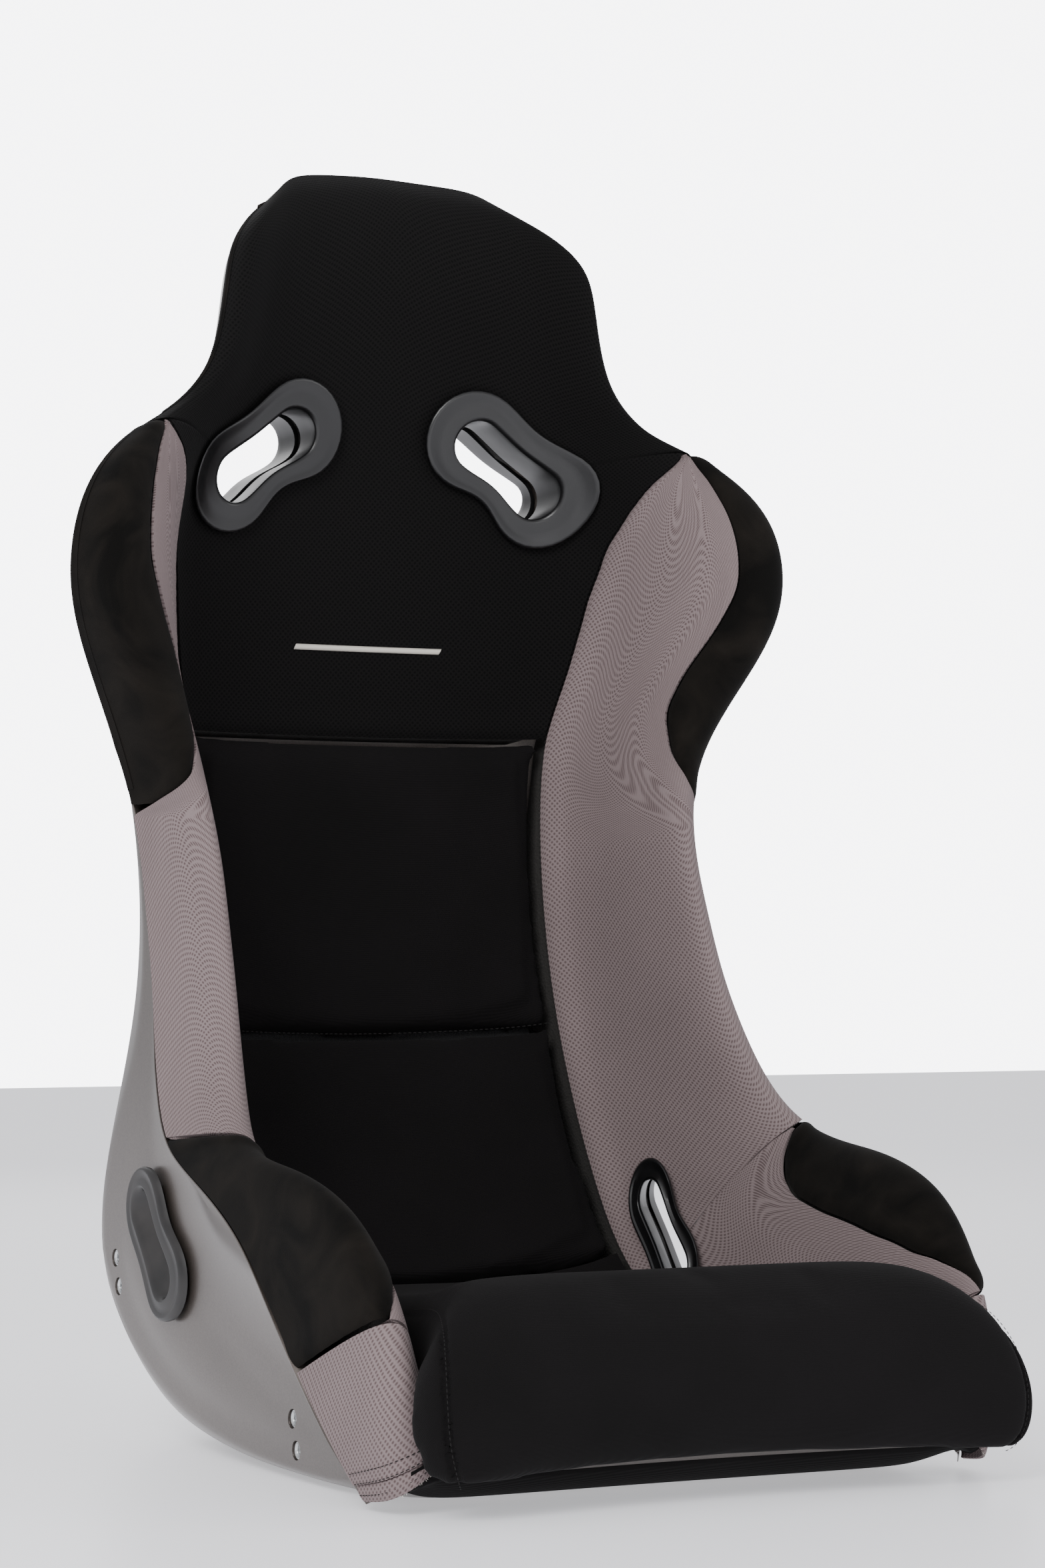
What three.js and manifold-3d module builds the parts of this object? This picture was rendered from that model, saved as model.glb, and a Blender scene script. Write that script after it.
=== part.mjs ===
// Fixed-back bucket racing seat, in millimetres, +Z up, the occupant facing -Y.
// "left" and "right" are the occupant's own, so the seat's left side is at +X.
//
// Two smooth surfaces carry the whole design. COVER is the face of the upholstery
// and SHELL is the outside of the glass-fibre moulding. Both run from the front hem
// over the pan, up the back and over the head, and both are mirrored about x = 0.
import * as THREE from 'three';
import { mergeVertices } from 'three/addons/utils/BufferGeometryUtils.js';
import Module from 'manifold-3d';

const wasm = await Module();
wasm.setup();

// Driving dimensions
const CENTRE_Y = -247.75;         // middle of the seat's depth, which becomes y = 0
const SHELL_WALL = 6;             // glass-fibre laminate
const COVER_SKIN = 2.5;           // knitted fabric with its scrim
const FOAM_BELOW_COVER = 9;       // depth of the foam's face under the fabric's face
const FOAM_ABOVE_SHELL = 11;      // height of the foam's back over the shell's outside
const PANEL_GAP = 0.025;          // half the gap between two sewn panels, in surface steps
const PAD_THICKNESS = 20;         // lumbar pad
const SIDE_FACE_X = 205;          // outside of the side walls
const MOUNT_FACE_X = 205.4;       // machined flats round the bushes, where the rails bolt on
const INSERT_RADIUS = 6;          // M8 threaded bush
const INSERT_BORE = 3.4;
const INSERT_LENGTH = 12;
const ROUND_SIDES = 10;           // facets of a bush and of its bore
const INSERT_SINK = 1.2;          // the bush sits this far below the side face
const INSERTS = [                            // name, y and z of each side's four
  ['front_lower', -323, 21],
  ['front_upper', -317, 41],
  ['rear_lower', -18, 105],
  ['rear_upper', -12, 125],
];
const PLATE_THICKNESS = 4;        // steel plates behind the side walls
// Harness slots. Each outline is drawn on a plane through "origin", whose two axes are
// "across" and "upright", and is cut along "through".
const SHOULDER_SLOT = {
  centre: [100, 709],
  turn: -36.5,
  span: 29.5,
  radius: 18,
  waist: 3,
  stretch: 0.3,
  origin: new THREE.Vector3(0, 0, 0),
  across: new THREE.Vector3(1, 0, 0),
  upright: new THREE.Vector3(0, 0, 1),
  through: new THREE.Vector3(0, 1, 0),
};
const LAP_SLOT = {
  centre: [-108, 141],
  turn: 50,
  span: 30,
  radius: 14,
  waist: 2,
  stretch: 0,
  origin: new THREE.Vector3(SIDE_FACE_X, 0, 0),
  across: new THREE.Vector3(0, 1, 0),
  upright: new THREE.Vector3(0, 0, 1),
  through: new THREE.Vector3(1, 1.35, 0),
};
const BEZEL_WALL = 2.5;           // lip of a harness bezel, standing in its slot
const BEZEL_LIP = 12;             // depth of the lip below the flange
const SLOT_CLEARANCE = 0.7;       // round a bezel's lip

// Stations across the occupant's left half, one line each, from the front hem to the
// top of the head: centre [y, z], then foot, flank, inner crest, outer crest and rim.
const COVER_STATIONS = [
  [[-495, 35], [165, -495, 30], [192, -500, 24], [208, -506, 14], [221, -492, 3], [222, -460, 2]],
  [[-470, 52], [165, -470, 55], [190, -490, 62], [208, -514, 66], [232, -500, 56], [236, -438, 38]],
  [[-430, 52], [165, -430, 55], [188, -455, 92], [206, -496, 130], [233, -492, 130], [243, -394, 86]],
  [[-370, 50], [165, -375, 54], [184, -405, 105], [205, -448, 180], [235, -452, 187], [246, -355, 130]],
  [[-300, 50], [165, -310, 56], [182, -335, 115], [205, -382, 202], [236, -390, 209], [247, -318, 164]],
  [[-220, 52], [165, -235, 62], [180, -265, 125], [205, -325, 207], [236, -334, 213], [248, -262, 190]],
  [[-145, 62], [162, -165, 80], [177, -205, 142], [203, -280, 212], [232, -284, 218], [246, -205, 208]],
  [[-85, 100], [158, -115, 120], [174, -160, 170], [197, -250, 230], [223, -244, 238], [240, -172, 234]],
  [[-40, 170], [156, -75, 185], [172, -124, 222], [190, -226, 266], [213, -213, 278], [233, -147, 280]],
  [[-8, 250], [155, -38, 258], [169, -96, 282], [185, -205, 314], [207, -185, 326], [227, -127, 326]],
  [[10, 330], [155, -10, 335], [167, -76, 350], [182, -187, 368], [205, -162, 377], [224, -108, 377]],
  [[17, 410], [155, 2, 412], [166, -62, 420], [182, -164, 430], [204, -140, 437], [222, -87, 436]],
  [[14, 480], [155, 2, 482], [170, -50, 487], [186, -134, 492], [219, -131, 495], [235, -79, 495]],
  [[6, 545], [163, -6, 545], [183, -60, 546], [203, -130, 548], [251, -154, 550], [266, -102, 549]],
  [[-3, 605], [172, -20, 605], [189, -80, 605], [220, -150, 605], [276, -172, 604], [290, -124, 602]],
  [[-10, 655], [174, -32, 658], [189, -92, 660], [224, -150, 664], [270, -168, 667], [282, -130, 667]],
  [[-16, 695], [150, -38, 700], [176, -82, 706], [204, -118, 713], [232, -132, 715], [244, -116, 708]],
  [[-22, 728], [122, -40, 729], [146, -62, 731], [165, -84, 733], [184, -100, 735], [195, -90, 731]],
  [[-32, 766], [103, -46, 766], [124, -64, 766], [140, -84, 766], [155, -98, 766], [163, -85, 764]],
  [[-44, 808], [98, -57, 808], [118, -73, 808], [134, -91, 808], [147, -100, 808], [153, -82, 806]],
  [[-56, 848], [95, -67, 848], [114, -82, 848], [130, -97, 848], [143, -101, 847], [148, -81, 845]],
  [[-58, 883], [88, -68, 880], [105, -78, 876], [120, -88, 872], [133, -91, 868], [139, -74, 864]],
  [[-46, 911], [78, -56, 905], [94, -62, 899], [106, -70, 892], [116, -73, 886], [122, -60, 881]],
  [[-22, 926], [70, -30, 921], [84, -37, 913], [94, -46, 904], [102, -50, 897], [106, -46, 892]],
];
// The same stations on the outside of the moulding: centre, keel, wall foot, wall, flare.
// Its rim is the cover's rim.
const SHELL_STATIONS = [
  [[-501, 28], [150, -501, 26], [188, -500, 22], [206, -488, 16], [218, -470, 8]],
  [[-472, 5], [150, -474, 5], [188, -476, 8], [208, -466, 16], [222, -450, 30]],
  [[-425, 0], [148, -428, 0], [194, -436, 0], [209, -434, 26], [219, -424, 64]],
  [[-362, 0], [150, -366, 0], [214, -384, 0], [209, -386, 34], [214, -382, 92]],
  [[-290, 0], [150, -296, 0], [216, -320, 0], [209, -324, 45], [213, -326, 118]],
  [[-195, 0], [150, -205, 0], [216, -240, 0], [209, -258, 62], [213, -266, 138]],
  [[-105, 0], [149, -118, 0], [218, -155, 12], [209, -192, 84], [213, -218, 160]],
  [[-15, 0], [146, -28, 4], [218, -66, 38], [209, -122, 110], [213, -182, 196]],
  [[38, 118], [144, 28, 112], [216, 46, 94], [209, -58, 162], [214, -145, 240]],
  [[58, 215], [140, 50, 206], [211, 36, 168], [208, -40, 235], [214, -112, 290]],
  [[64, 310], [138, 50, 308], [180, 12, 290], [200, -41, 315], [212, -90, 345]],
  [[62, 400], [140, 47, 400], [177, 8, 385], [200, -44, 395], [211, -80, 410]],
  [[57, 475], [146, 42, 475], [184, 7, 468], [213, -47, 474], [222, -77, 483]],
  [[51, 543], [152, 36, 543], [197, 2, 540], [234, -51, 545], [249, -86, 545]],
  [[45, 604], [155, 31, 604], [201, -4, 604], [240, -53, 600], [273, -97, 598]],
  [[39, 655], [149, 25, 657], [186, -5, 658], [224, -48, 658], [266, -94, 654]],
  [[34, 698], [131, 19, 702], [155, -10, 706], [191, -40, 706], [228, -77, 706]],
  [[30, 732], [118, 14, 733], [139, -11, 735], [160, -38, 733], [181, -64, 732]],
  [[26, 767], [109, 10, 767], [129, -12, 764], [145, -38, 763], [156, -64, 764]],
  [[24, 808], [103, 8, 808], [122, -10, 808], [137, -34, 808], [147, -60, 808]],
  [[22, 850], [100, 6, 849], [118, -10, 848], [132, -32, 847], [142, -58, 846]],
  [[16, 886], [90, 2, 883], [106, -11, 879], [119, -32, 874], [130, -54, 869]],
  [[4, 912], [80, -6, 906], [94, -17, 899], [105, -33, 892], [114, -48, 886]],
  [[-18, 925], [70, -27, 920], [84, -35, 912], [94, -44, 903], [102, -49, 896]],
].map((station, row) => [...station, COVER_STATIONS[row].at(-1)]);

// The seat cushion's face, from its rear foot over the top and the front roll to the
// flap's lower edge: centre [y, z], then side, edge and gusset.
const CUSHION_STATIONS = [
  [[-150, 76], [110, -158, 78], [138, -172, 80], [150, -182, 78]],
  [[-138, 98], [112, -148, 100], [142, -164, 98], [156, -176, 80]],
  [[-165, 110], [120, -172, 112], [152, -184, 108], [162, -196, 76]],
  [[-250, 108], [128, -252, 110], [158, -256, 109], [165, -260, 70]],
  [[-340, 114], [132, -340, 116], [163, -342, 114], [168, -345, 70]],
  [[-415, 127], [138, -415, 129], [170, -418, 126], [174, -415, 70]],
  [[-476, 142], [150, -476, 142], [184, -474, 130], [181, -455, 74]],
  [[-524, 138], [160, -528, 136], [206, -524, 120], [206, -500, 100]],
  [[-548, 98], [165, -554, 94], [219, -554, 86], [224, -522, 80]],
  [[-549, 56], [165, -559, 51], [221, -562, 49], [229, -528, 50]],
  [[-539, 29], [162, -550, 25], [210, -560, 23], [222, -528, 28]],
  [[-526, 25], [160, -538, 22], [202, -546, 20], [214, -526, 23]],
];
// The underside of its foam at the same stations: centre [y, z] and gusset.
const CUSHION_UNDERSIDE = [
  [[-156, 74], [146, -182, 76]],
  [[-158, 74], [150, -186, 74]],
  [[-175, 70], [156, -200, 70]],
  [[-250, 66], [160, -260, 66]],
  [[-340, 66], [163, -345, 66]],
  [[-410, 68], [168, -412, 66]],
  [[-462, 70], [174, -456, 70]],
  [[-508, 76], [200, -512, 92]],
  [[-520, 70], [212, -528, 78]],
  [[-524, 52], [216, -534, 50]],
  [[-524, 38], [212, -534, 34]],
  [[-522, 31], [206, -534, 29]],
];

// Sewn seams, as [station, step across] where steps run from 0 at the centre to 6 at the rim
const CENTRE_SEAM = [[0, 2], [12.4, 2], [13.2, 2.12], [14.2, 2.2], [14.9, 2.4], [15.4, 2.85],
  [15.8, 3.4], [16.4, 4.9]];
const SHOULDER_SEAM = [[11.1, 5.95], [11.25, 5.45], [11.5, 4.7], [12, 4.05], [12.6, 3.8], [13.1, 3.9],
  [13.6, 4.1], [14.2, 4.28], [15, 4.28], [15.5, 4.32], [16, 4.5], [16.4, 4.94]];
const THIGH_SEAM = [[1.9, 4.5], [2.3, 3.95], [2.8, 3.65], [3.5, 3.55], [4.5, 3.55], [5.2, 3.6], [5.7, 3.75],
  [6.1, 4], [6.4, 4.4]];
const PAD_EDGE = 1.96;                       // the pads' side edge, in steps across
const LUMBAR_LIFT = [0, -0.974, 0.225];      // the way the lumbar pad comes off
const PAD_BOTTOM = 6.97;                     // stations of the lumbar pad's three seams
const PAD_MIDDLE = 9.42;
const PAD_TOP = 12.4;
const SHOULDER_PATCH = [11.25, 16.36];
const THIGH_PATCH = [1.9, 6.4];
const APEX = 16.4;                           // station where the black fabric reaches the rim
const COVER_EDGE = 5.85;
const FOAM_EDGE = 4.95;
const LAST_STATION = COVER_STATIONS.length - 1;
// Stations where the faceted skins have an edge
const STATION_LINES = [0, 0.5, 1, 1.5, 2, 2.5, 3, 4, 5, 6, 6.5, 7, 7.5, 8, 8.5, 9.4, 10.4, 11.4, 11.8,
  12.1, 12.4, 12.7, 13.1, 13.6, 14.2, 14.8, 15.3, 15.7, 16.1, 16.5, 17, 17.6, 18.5, 20, 21, 22, 23];
const SHELL_LINES = [0, 0.5, 1, 2, 3, 4, 5, 6, 6.5, 7, 7.5, 8, 8.5, 9.4, 10.4, 11.4, 12.4, 13.1, 14.2,
  15.3, 16.1, 17, 18.5, 20, 21, 22, 23];

// A uniform cubic B-spline that ends on its first and last control points
function splineWeights(t) {
  const s = 1 - t;
  const inner = (a) => 3 * a * a * a - 6 * a * a + 4;
  return [s * s * s, inner(t), inner(s), t * t * t].map((weight) => weight / 6);
}

function splinePoint(last, control, at) {
  const place = THREE.MathUtils.clamp(at, 0, last - 1e-9);
  const start = Math.floor(place);
  const controlOrBeyond = (i) => {
    if (i < 0) return control(0).multiplyScalar(2).sub(control(1));
    if (i > last) return control(last).multiplyScalar(2).sub(control(last - 1));
    return control(i);
  };
  const point = new THREE.Vector3();
  splineWeights(place - start).forEach((weight, k) => {
    point.addScaledVector(controlOrBeyond(start - 1 + k), weight);
  });
  return point;
}

// Half stations become full ones, with a point between the centre and the foot
function fullStation([[centreY, centreZ], ...outer]) {
  const centre = new THREE.Vector3(0, centreY, centreZ);
  const points = outer.map((p) => new THREE.Vector3(...p));
  const foot = points[0];
  const middle = new THREE.Vector3(
    foot.x / 2,
    THREE.MathUtils.lerp(centreY, foot.y, 0.25),
    THREE.MathUtils.lerp(centreZ, foot.z, 0.35),
  );
  const half = [centre, middle, ...points];
  const mirrorHalf = half.slice(1).reverse().map((p) => new THREE.Vector3(-p.x, p.y, p.z));
  return [...mirrorHalf, ...half];
}

function makeSurface(stations, shaped = (p) => p) {
  const rows = stations.map(fullStation);
  const middle = (rows[0].length - 1) / 2;
  const rowPoint = (row, u) => splinePoint(2 * middle, (i) => row[i].clone(), u + middle);
  const at = (u, v) => shaped(splinePoint(rows.length - 1, (i) => rowPoint(rows[i], u), v));
  const normal = (u, v) => {
    const step = 0.02;
    const uIn = THREE.MathUtils.clamp(u, step - middle, middle - step);
    const vIn = THREE.MathUtils.clamp(v, step, rows.length - 1 - step);
    const across = at(uIn + step, vIn).sub(at(uIn - step, vIn));
    const along = at(uIn, vIn + step).sub(at(uIn, vIn - step));
    return across.cross(along).normalize();
  };
  const raised = (height) => (u, v) => at(u, v).addScaledVector(normal(u, v), height);
  return { at, normal, raised };
}

// The moulding's walls are pressed flat where the rails bolt on, and flare out above
function withFlatSides(point) {
  const x = Math.abs(point.x);
  const flatTo = SIDE_FACE_X + 6;
  const flareTo = SIDE_FACE_X + 30;
  let pressed = x;
  if (x > SIDE_FACE_X) pressed = SIDE_FACE_X;
  if (x > flatTo) pressed = THREE.MathUtils.mapLinear(x, flatTo, flareTo, SIDE_FACE_X, flareTo);
  if (x > flareTo) pressed = x;
  point.x = Math.sign(point.x) * pressed;
  return point;
}

// "raised" moves a surface toward the occupant, on all four of these
const COVER = makeSurface(COVER_STATIONS);
const SHELL = makeSurface(SHELL_STATIONS, withFlatSides);
const CUSHION = makeSurface([...CUSHION_STATIONS].reverse());
const CUSHION_BASE = makeSurface([...CUSHION_UNDERSIDE].reverse().map(([centre, edge]) => {
  const between = (k) => [
    edge[0] * k,
    THREE.MathUtils.lerp(centre[0], edge[1], k * k),
    THREE.MathUtils.lerp(centre[1], edge[2], k * k),
  ];
  return [centre, between(0.72), between(0.9), edge];
}));

// Pieces between the seams share one direction through the seat at every point, so that
// neighbours never cross: straight from cover to moulding in the middle of the seat,
// and square to each surface on the bolsters.
function layered(surface, other, facing) {
  return (depth) => (u, v) => {
    const square = surface.normal(u, v).multiplyScalar(facing);
    const straight = other.at(u, v).sub(surface.at(u, v)).normalize();
    const into = straight.lerp(square, THREE.MathUtils.smoothstep(Math.abs(u), 2, 3)).normalize();
    return surface.at(u, v).addScaledVector(into, depth / Math.max(into.dot(square), 0.6));
  };
}

const below = layered(COVER, SHELL, -1);
const above = layered(SHELL, COVER, 1);

// Where a seam crosses a station
function seamAt(seam, v) {
  if (v <= seam[0][0]) return seam[0][1];
  const next = seam.findIndex(([station]) => station >= v);
  if (next < 0) return seam.at(-1)[1];
  const [fromV, fromU] = seam[next - 1];
  const [toV, toU] = seam[next];
  return THREE.MathUtils.mapLinear(v, fromV, toV, fromU, toU);
}

function linesBetween(from, to, lines = STATION_LINES) {
  const inside = lines.filter((v) => v > from + 0.12 && v < to - 0.12);
  return [from, ...inside, to];
}

// A closed solid between two grids of points that share their outline
function solidBetween(topGrid, bottomGrid) {
  const rows = topGrid.length;
  const columns = topGrid[0].length;
  const positions = [...topGrid.flat(), ...bottomGrid.flat()].flatMap((p) => p.toArray());
  const top = (r, c) => r * columns + c;
  const bottom = (r, c) => rows * columns + top(r, c);
  const index = [];
  const quad = (a, b, c, d) => index.push(a, b, c, a, c, d);
  for (let r = 0; r < rows - 1; r += 1) {
    for (let c = 0; c < columns - 1; c += 1) {
      quad(top(r, c), top(r, c + 1), top(r + 1, c + 1), top(r + 1, c));
      quad(bottom(r, c), bottom(r + 1, c), bottom(r + 1, c + 1), bottom(r, c + 1));
    }
  }
  for (let c = 0; c < columns - 1; c += 1) {
    quad(top(0, c + 1), top(0, c), bottom(0, c), bottom(0, c + 1));
    quad(top(rows - 1, c), top(rows - 1, c + 1), bottom(rows - 1, c + 1), bottom(rows - 1, c));
  }
  for (let r = 0; r < rows - 1; r += 1) {
    quad(top(r, 0), top(r + 1, 0), bottom(r + 1, 0), bottom(r, 0));
    quad(top(r + 1, columns - 1), top(r, columns - 1), bottom(r, columns - 1), bottom(r + 1, columns - 1));
  }
  return meshGeometry(positions, index);
}

function meshGeometry(positions, index) {
  const geometry = new THREE.BufferGeometry();
  geometry.setAttribute('position', new THREE.Float32BufferAttribute(positions, 3));
  geometry.setIndex(index);
  return geometry;
}

// A panel or pad between two surfaces, whose side edges depend on the station
function panel({ outer, inner, from, to, edges, columns, lines }) {
  const rows = linesBetween(from, to, lines);
  const grid = (surface) => rows.map((v) => {
    const across = Array.isArray(columns) ? columns : edgeSteps(edges(v), columns);
    return across.map((u) => surface(u, v));
  });
  return solidBetween(grid(outer), grid(inner));
}

function edgeSteps([start, end], columns) {
  return Array.from({ length: columns + 1 }, (_, c) => THREE.MathUtils.lerp(start, end, c / columns));
}

function mirrored(geometry) {
  const copy = geometry.clone();
  const position = copy.getAttribute('position');
  for (let i = 0; i < position.count; i += 1) position.setX(i, -position.getX(i));
  const index = Array.from(copy.getIndex().array);
  for (let i = 0; i < index.length; i += 3) [index[i], index[i + 1]] = [index[i + 1], index[i]];
  copy.setIndex(index);
  return copy;
}

// Booleans
function toSolid(geometry) {
  const bare = geometry.clone();
  bare.deleteAttribute('normal');
  bare.deleteAttribute('uv');
  const merged = mergeVertices(bare, 1e-4);
  const solid = new wasm.Manifold(new wasm.Mesh({
    numProp: 3,
    vertProperties: new Float32Array(merged.getAttribute('position').array),
    triVerts: new Uint32Array(merged.getIndex().array),
  }));
  return solid;
}

function toGeometry(solid) {
  const mesh = solid.getMesh();
  return meshGeometry(Array.from(mesh.vertProperties), Array.from(mesh.triVerts));
}

function cut(geometry, cutters, tolerance) {
  const whole = cutters.reduce((solid, cutter) => solid.subtract(toSolid(cutter)), toSolid(geometry));
  return toGeometry(largest(largest(whole).simplify(tolerance)));
}

function largest(solid) {
  return solid.decompose().sort((a, b) => b.volume() - a.volume())[0];
}

function joined(geometries) {
  return toGeometry(geometries.map(toSolid).reduce((whole, part) => whole.add(part)));
}

// Faces wound outwards, whichever way the grid or the profile ran
function outwards(geometry) {
  const position = geometry.getAttribute('position');
  const index = Array.from(geometry.getIndex().array);
  const corner = (i) => new THREE.Vector3().fromBufferAttribute(position, index[i]);
  let volume = 0;
  for (let i = 0; i < index.length; i += 3) volume += corner(i).dot(corner(i + 1).cross(corner(i + 2)));
  if (volume > 0) return geometry;
  for (let i = 0; i < index.length; i += 3) [index[i], index[i + 1]] = [index[i + 1], index[i]];
  return meshGeometry(Array.from(position.array), index);
}

// A harness slot's outline: two round ends with a slight waist between them
function slotOutline({ centre, turn, span, radius, waist, stretch }, grow) {
  const capSteps = 5;
  const sideSteps = 4;
  const r = radius + grow;
  const halfSpan = span + grow * stretch;
  const points = [];
  for (const end of [1, -1]) {
    for (let i = 0; i <= capSteps; i += 1) {
      const angle = Math.PI * (i / capSteps - 0.5);
      points.push(new THREE.Vector2(end * (halfSpan + r * Math.cos(angle)), end * r * Math.sin(angle)));
    }
    for (let i = 1; i < sideSteps; i += 1) {
      const along = 1 - (2 * i) / sideSteps;
      const pinch = waist * (1 + grow / 12) * Math.cos((Math.PI * along) / 2) ** 2;
      points.push(new THREE.Vector2(end * halfSpan * along, end * (r - pinch)));
    }
  }
  const middle = new THREE.Vector2(...centre);
  return points.map((p) => p.rotateAround(new THREE.Vector2(), THREE.MathUtils.degToRad(turn)).add(middle));
}

// A point's place in a slot's own frame: across, upright and depth along the slot
function inSlotFrame(slot, point) {
  const offset = point.clone().sub(slot.origin);
  const frame = new THREE.Matrix4().makeBasis(slot.across, slot.upright, slot.through);
  return offset.applyMatrix4(frame.invert());
}

function fromSlotFrame(slot, across, upright, depth) {
  return slot.origin.clone()
    .addScaledVector(slot.across, across)
    .addScaledVector(slot.upright, upright)
    .addScaledVector(slot.through, depth);
}

// The step across and the station where a surface meets one line through the slot
function landOn(surface, slot, guess, target) {
  let [u, v] = guess;
  const step = 0.01;
  const place = (a, b) => inSlotFrame(slot, surface.at(a, b));
  for (let pass = 0; pass < 12; pass += 1) {
    const here = place(u, v);
    const du = place(u + step, v).sub(here).divideScalar(step);
    const dv = place(u, v + step).sub(here).divideScalar(step);
    const missX = target.x - here.x;
    const missY = target.y - here.y;
    const det = du.x * dv.y - dv.x * du.y;
    u += (missX * dv.y - missY * dv.x) / det;
    v += (du.x * missY - du.y * missX) / det;
  }
  return [u, v];
}

// A bezel's section, as [out from the slot, up from the surface]
function bezelSection(flange) {
  return [[0, -BEZEL_LIP], [0, 6.3], [3, 8.6], [flange - 3, 7.8], [flange, 5.4], [BEZEL_WALL, 5.4],
    [BEZEL_WALL, -BEZEL_LIP]];
}

// The section swept round the slot. Its flange follows the surface, and its lip runs
// straight into the slot and ends on one flat plane.
function bezel({ slot, flange, surface, guess, up }) {
  let near = landOn(surface, slot, guess, new THREE.Vector2(...slot.centre));
  const lipDepth = inSlotFrame(slot, surface.at(...near)).z - BEZEL_LIP * up;
  const rings = bezelSection(flange).map(([out, height]) => slotOutline(slot, out).map((p) => {
    near = landOn(surface, slot, near, p);
    const depth = inSlotFrame(slot, surface.at(...near)).z + height * up;
    return fromSlotFrame(slot, p.x, p.y, height < 0 ? lipDepth : depth);
  }));
  const count = rings[0].length;
  const index = [];
  rings.forEach((_, k) => {
    const next = (k + 1) % rings.length;
    for (let i = 0; i < count; i += 1) {
      const j = (i + 1) % count;
      const [a, b, c, d] = [k * count + i, k * count + j, next * count + j, next * count + i];
      index.push(a, b, c, a, c, d);
    }
  });
  return outwards(meshGeometry(rings.flat().flatMap((p) => p.toArray()), index));
}

// A straight cutter along the slot, wider than its opening by "grow"
function slotCutter(slot, grow, from, to) {
  const shape = new THREE.Shape(slotOutline(slot, grow));
  const flat = new THREE.ExtrudeGeometry(shape, { depth: to - from, bevelEnabled: false });
  flat.translate(0, 0, from);
  flat.applyMatrix4(new THREE.Matrix4().makeBasis(slot.across, slot.upright, slot.through));
  flat.translate(...slot.origin.toArray());
  flat.deleteAttribute('normal');
  flat.deleteAttribute('uv');
  return outwards(mergeVertices(flat, 1e-4));
}

function sideBore(y, z, radius, from, to) {
  const bore = new THREE.CylinderGeometry(radius, radius, to - from, ROUND_SIDES);
  bore.rotateZ(-Math.PI / 2);
  bore.translate((from + to) / 2, y, z);
  return bore;
}

function block(x, y, z) {
  const size = [x, y, z].map(([from, to]) => to - from);
  const box = new THREE.BoxGeometry(...size);
  box.translate((x[0] + x[1]) / 2, (y[0] + y[1]) / 2, (z[0] + z[1]) / 2);
  return box;
}

// Shell ---------------------------------------------------------------
const slotRoom = BEZEL_WALL + SLOT_CLEARANCE;
const shoulderCut = slotCutter(SHOULDER_SLOT, slotRoom, -140, 80);
const lapCut = slotCutter(LAP_SLOT, slotRoom, -60, 20);
const boreRadius = INSERT_RADIUS + 0.5;
const boreCuts = INSERTS.map(([, y, z]) => sideBore(y, z, boreRadius, SIDE_FACE_X - 16, SIDE_FACE_X + 4));
const bothSides = (geometries) => [...geometries, ...geometries.map(mirrored)];

const bothHalves = (half) => [...half.slice(1).reverse().map((u) => -u), ...half];
const shellLines = bothHalves([0, 1, 2, 2.35, 2.65, 2.95, 3.3, 4, 4.7, 5.3, 5.7, 6]);
const coverLines = bothHalves([0, 1, 2, 2.4, 2.8, 3.1, 3.4, 3.7, 4, 4.3, 4.6, 5, 5.5, 5.98]);
const shellBody = panel({
  outer: SHELL.raised(SHELL_WALL),
  inner: SHELL.at,
  from: 0.05,
  to: LAST_STATION - 0.05,
  columns: shellLines,
  lines: SHELL_LINES,
});
const coverEnvelope = panel({
  outer: COVER.raised(14),
  inner: below(COVER_SKIN + 4),
  from: 0,
  to: LAST_STATION,
  columns: coverLines,
});
const shellEnvelope = panel({
  outer: SHELL.raised(SHELL_WALL + 3),
  inner: SHELL.raised(-10),
  from: 0,
  to: LAST_STATION,
  columns: shellLines,
  lines: SHELL_LINES,
});
const trimmedShell = cut(shellBody, [coverEnvelope], 0.1);
const paddedShell = joined([trimmedShell, ...bothSides([
  block([SIDE_FACE_X - 4, MOUNT_FACE_X], [-358, -284], [16, 54]),
  block([SIDE_FACE_X - 4, MOUNT_FACE_X], [-40, -2], [95, 138]),
])]);
const shell = cut(paddedShell, bothSides([shoulderCut, lapCut, ...boreCuts]), 0.02);

// Steel plates inside the side walls, and the threaded bushes they carry ----
const plateOuterX = SIDE_FACE_X - SHELL_WALL - 2;
const plateX = [plateOuterX - PLATE_THICKNESS, plateOuterX];
const frontPlateY = [-350, -290];
const frontPlateZ = [14, 49];
const rearPlateY = [-34, 2];
const rearPlateZ = [96, 135];
const plateCuts = [...boreCuts, shellEnvelope];
const frontPlate = cut(block(plateX, frontPlateY, frontPlateZ), plateCuts, 0.05);
const rearPlate = cut(block(plateX, rearPlateY, rearPlateZ), plateCuts, 0.05);
const roomier = ([from, to]) => [from - 0.8, to + 0.8];
const plateRoom = [
  block([plateX[0] - 0.8, 215], roomier(frontPlateY), roomier(frontPlateZ)),
  block([plateX[0] - 0.8, 215], roomier(rearPlateY), roomier(rearPlateZ)),
];
const insert = (y, z) => {
  const section = [[INSERT_BORE, 0], [INSERT_RADIUS, 0], [INSERT_RADIUS, INSERT_LENGTH],
    [INSERT_BORE, INSERT_LENGTH], [INSERT_BORE, 0]].map(([r, h]) => new THREE.Vector2(r, h));
  const bush = new THREE.LatheGeometry(section, ROUND_SIDES);
  bush.rotateZ(Math.PI / 2);
  bush.translate(SIDE_FACE_X - INSERT_SINK, y, z);
  bush.deleteAttribute('normal');
  bush.deleteAttribute('uv');
  return outwards(mergeVertices(bush, 1e-4));
};

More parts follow.
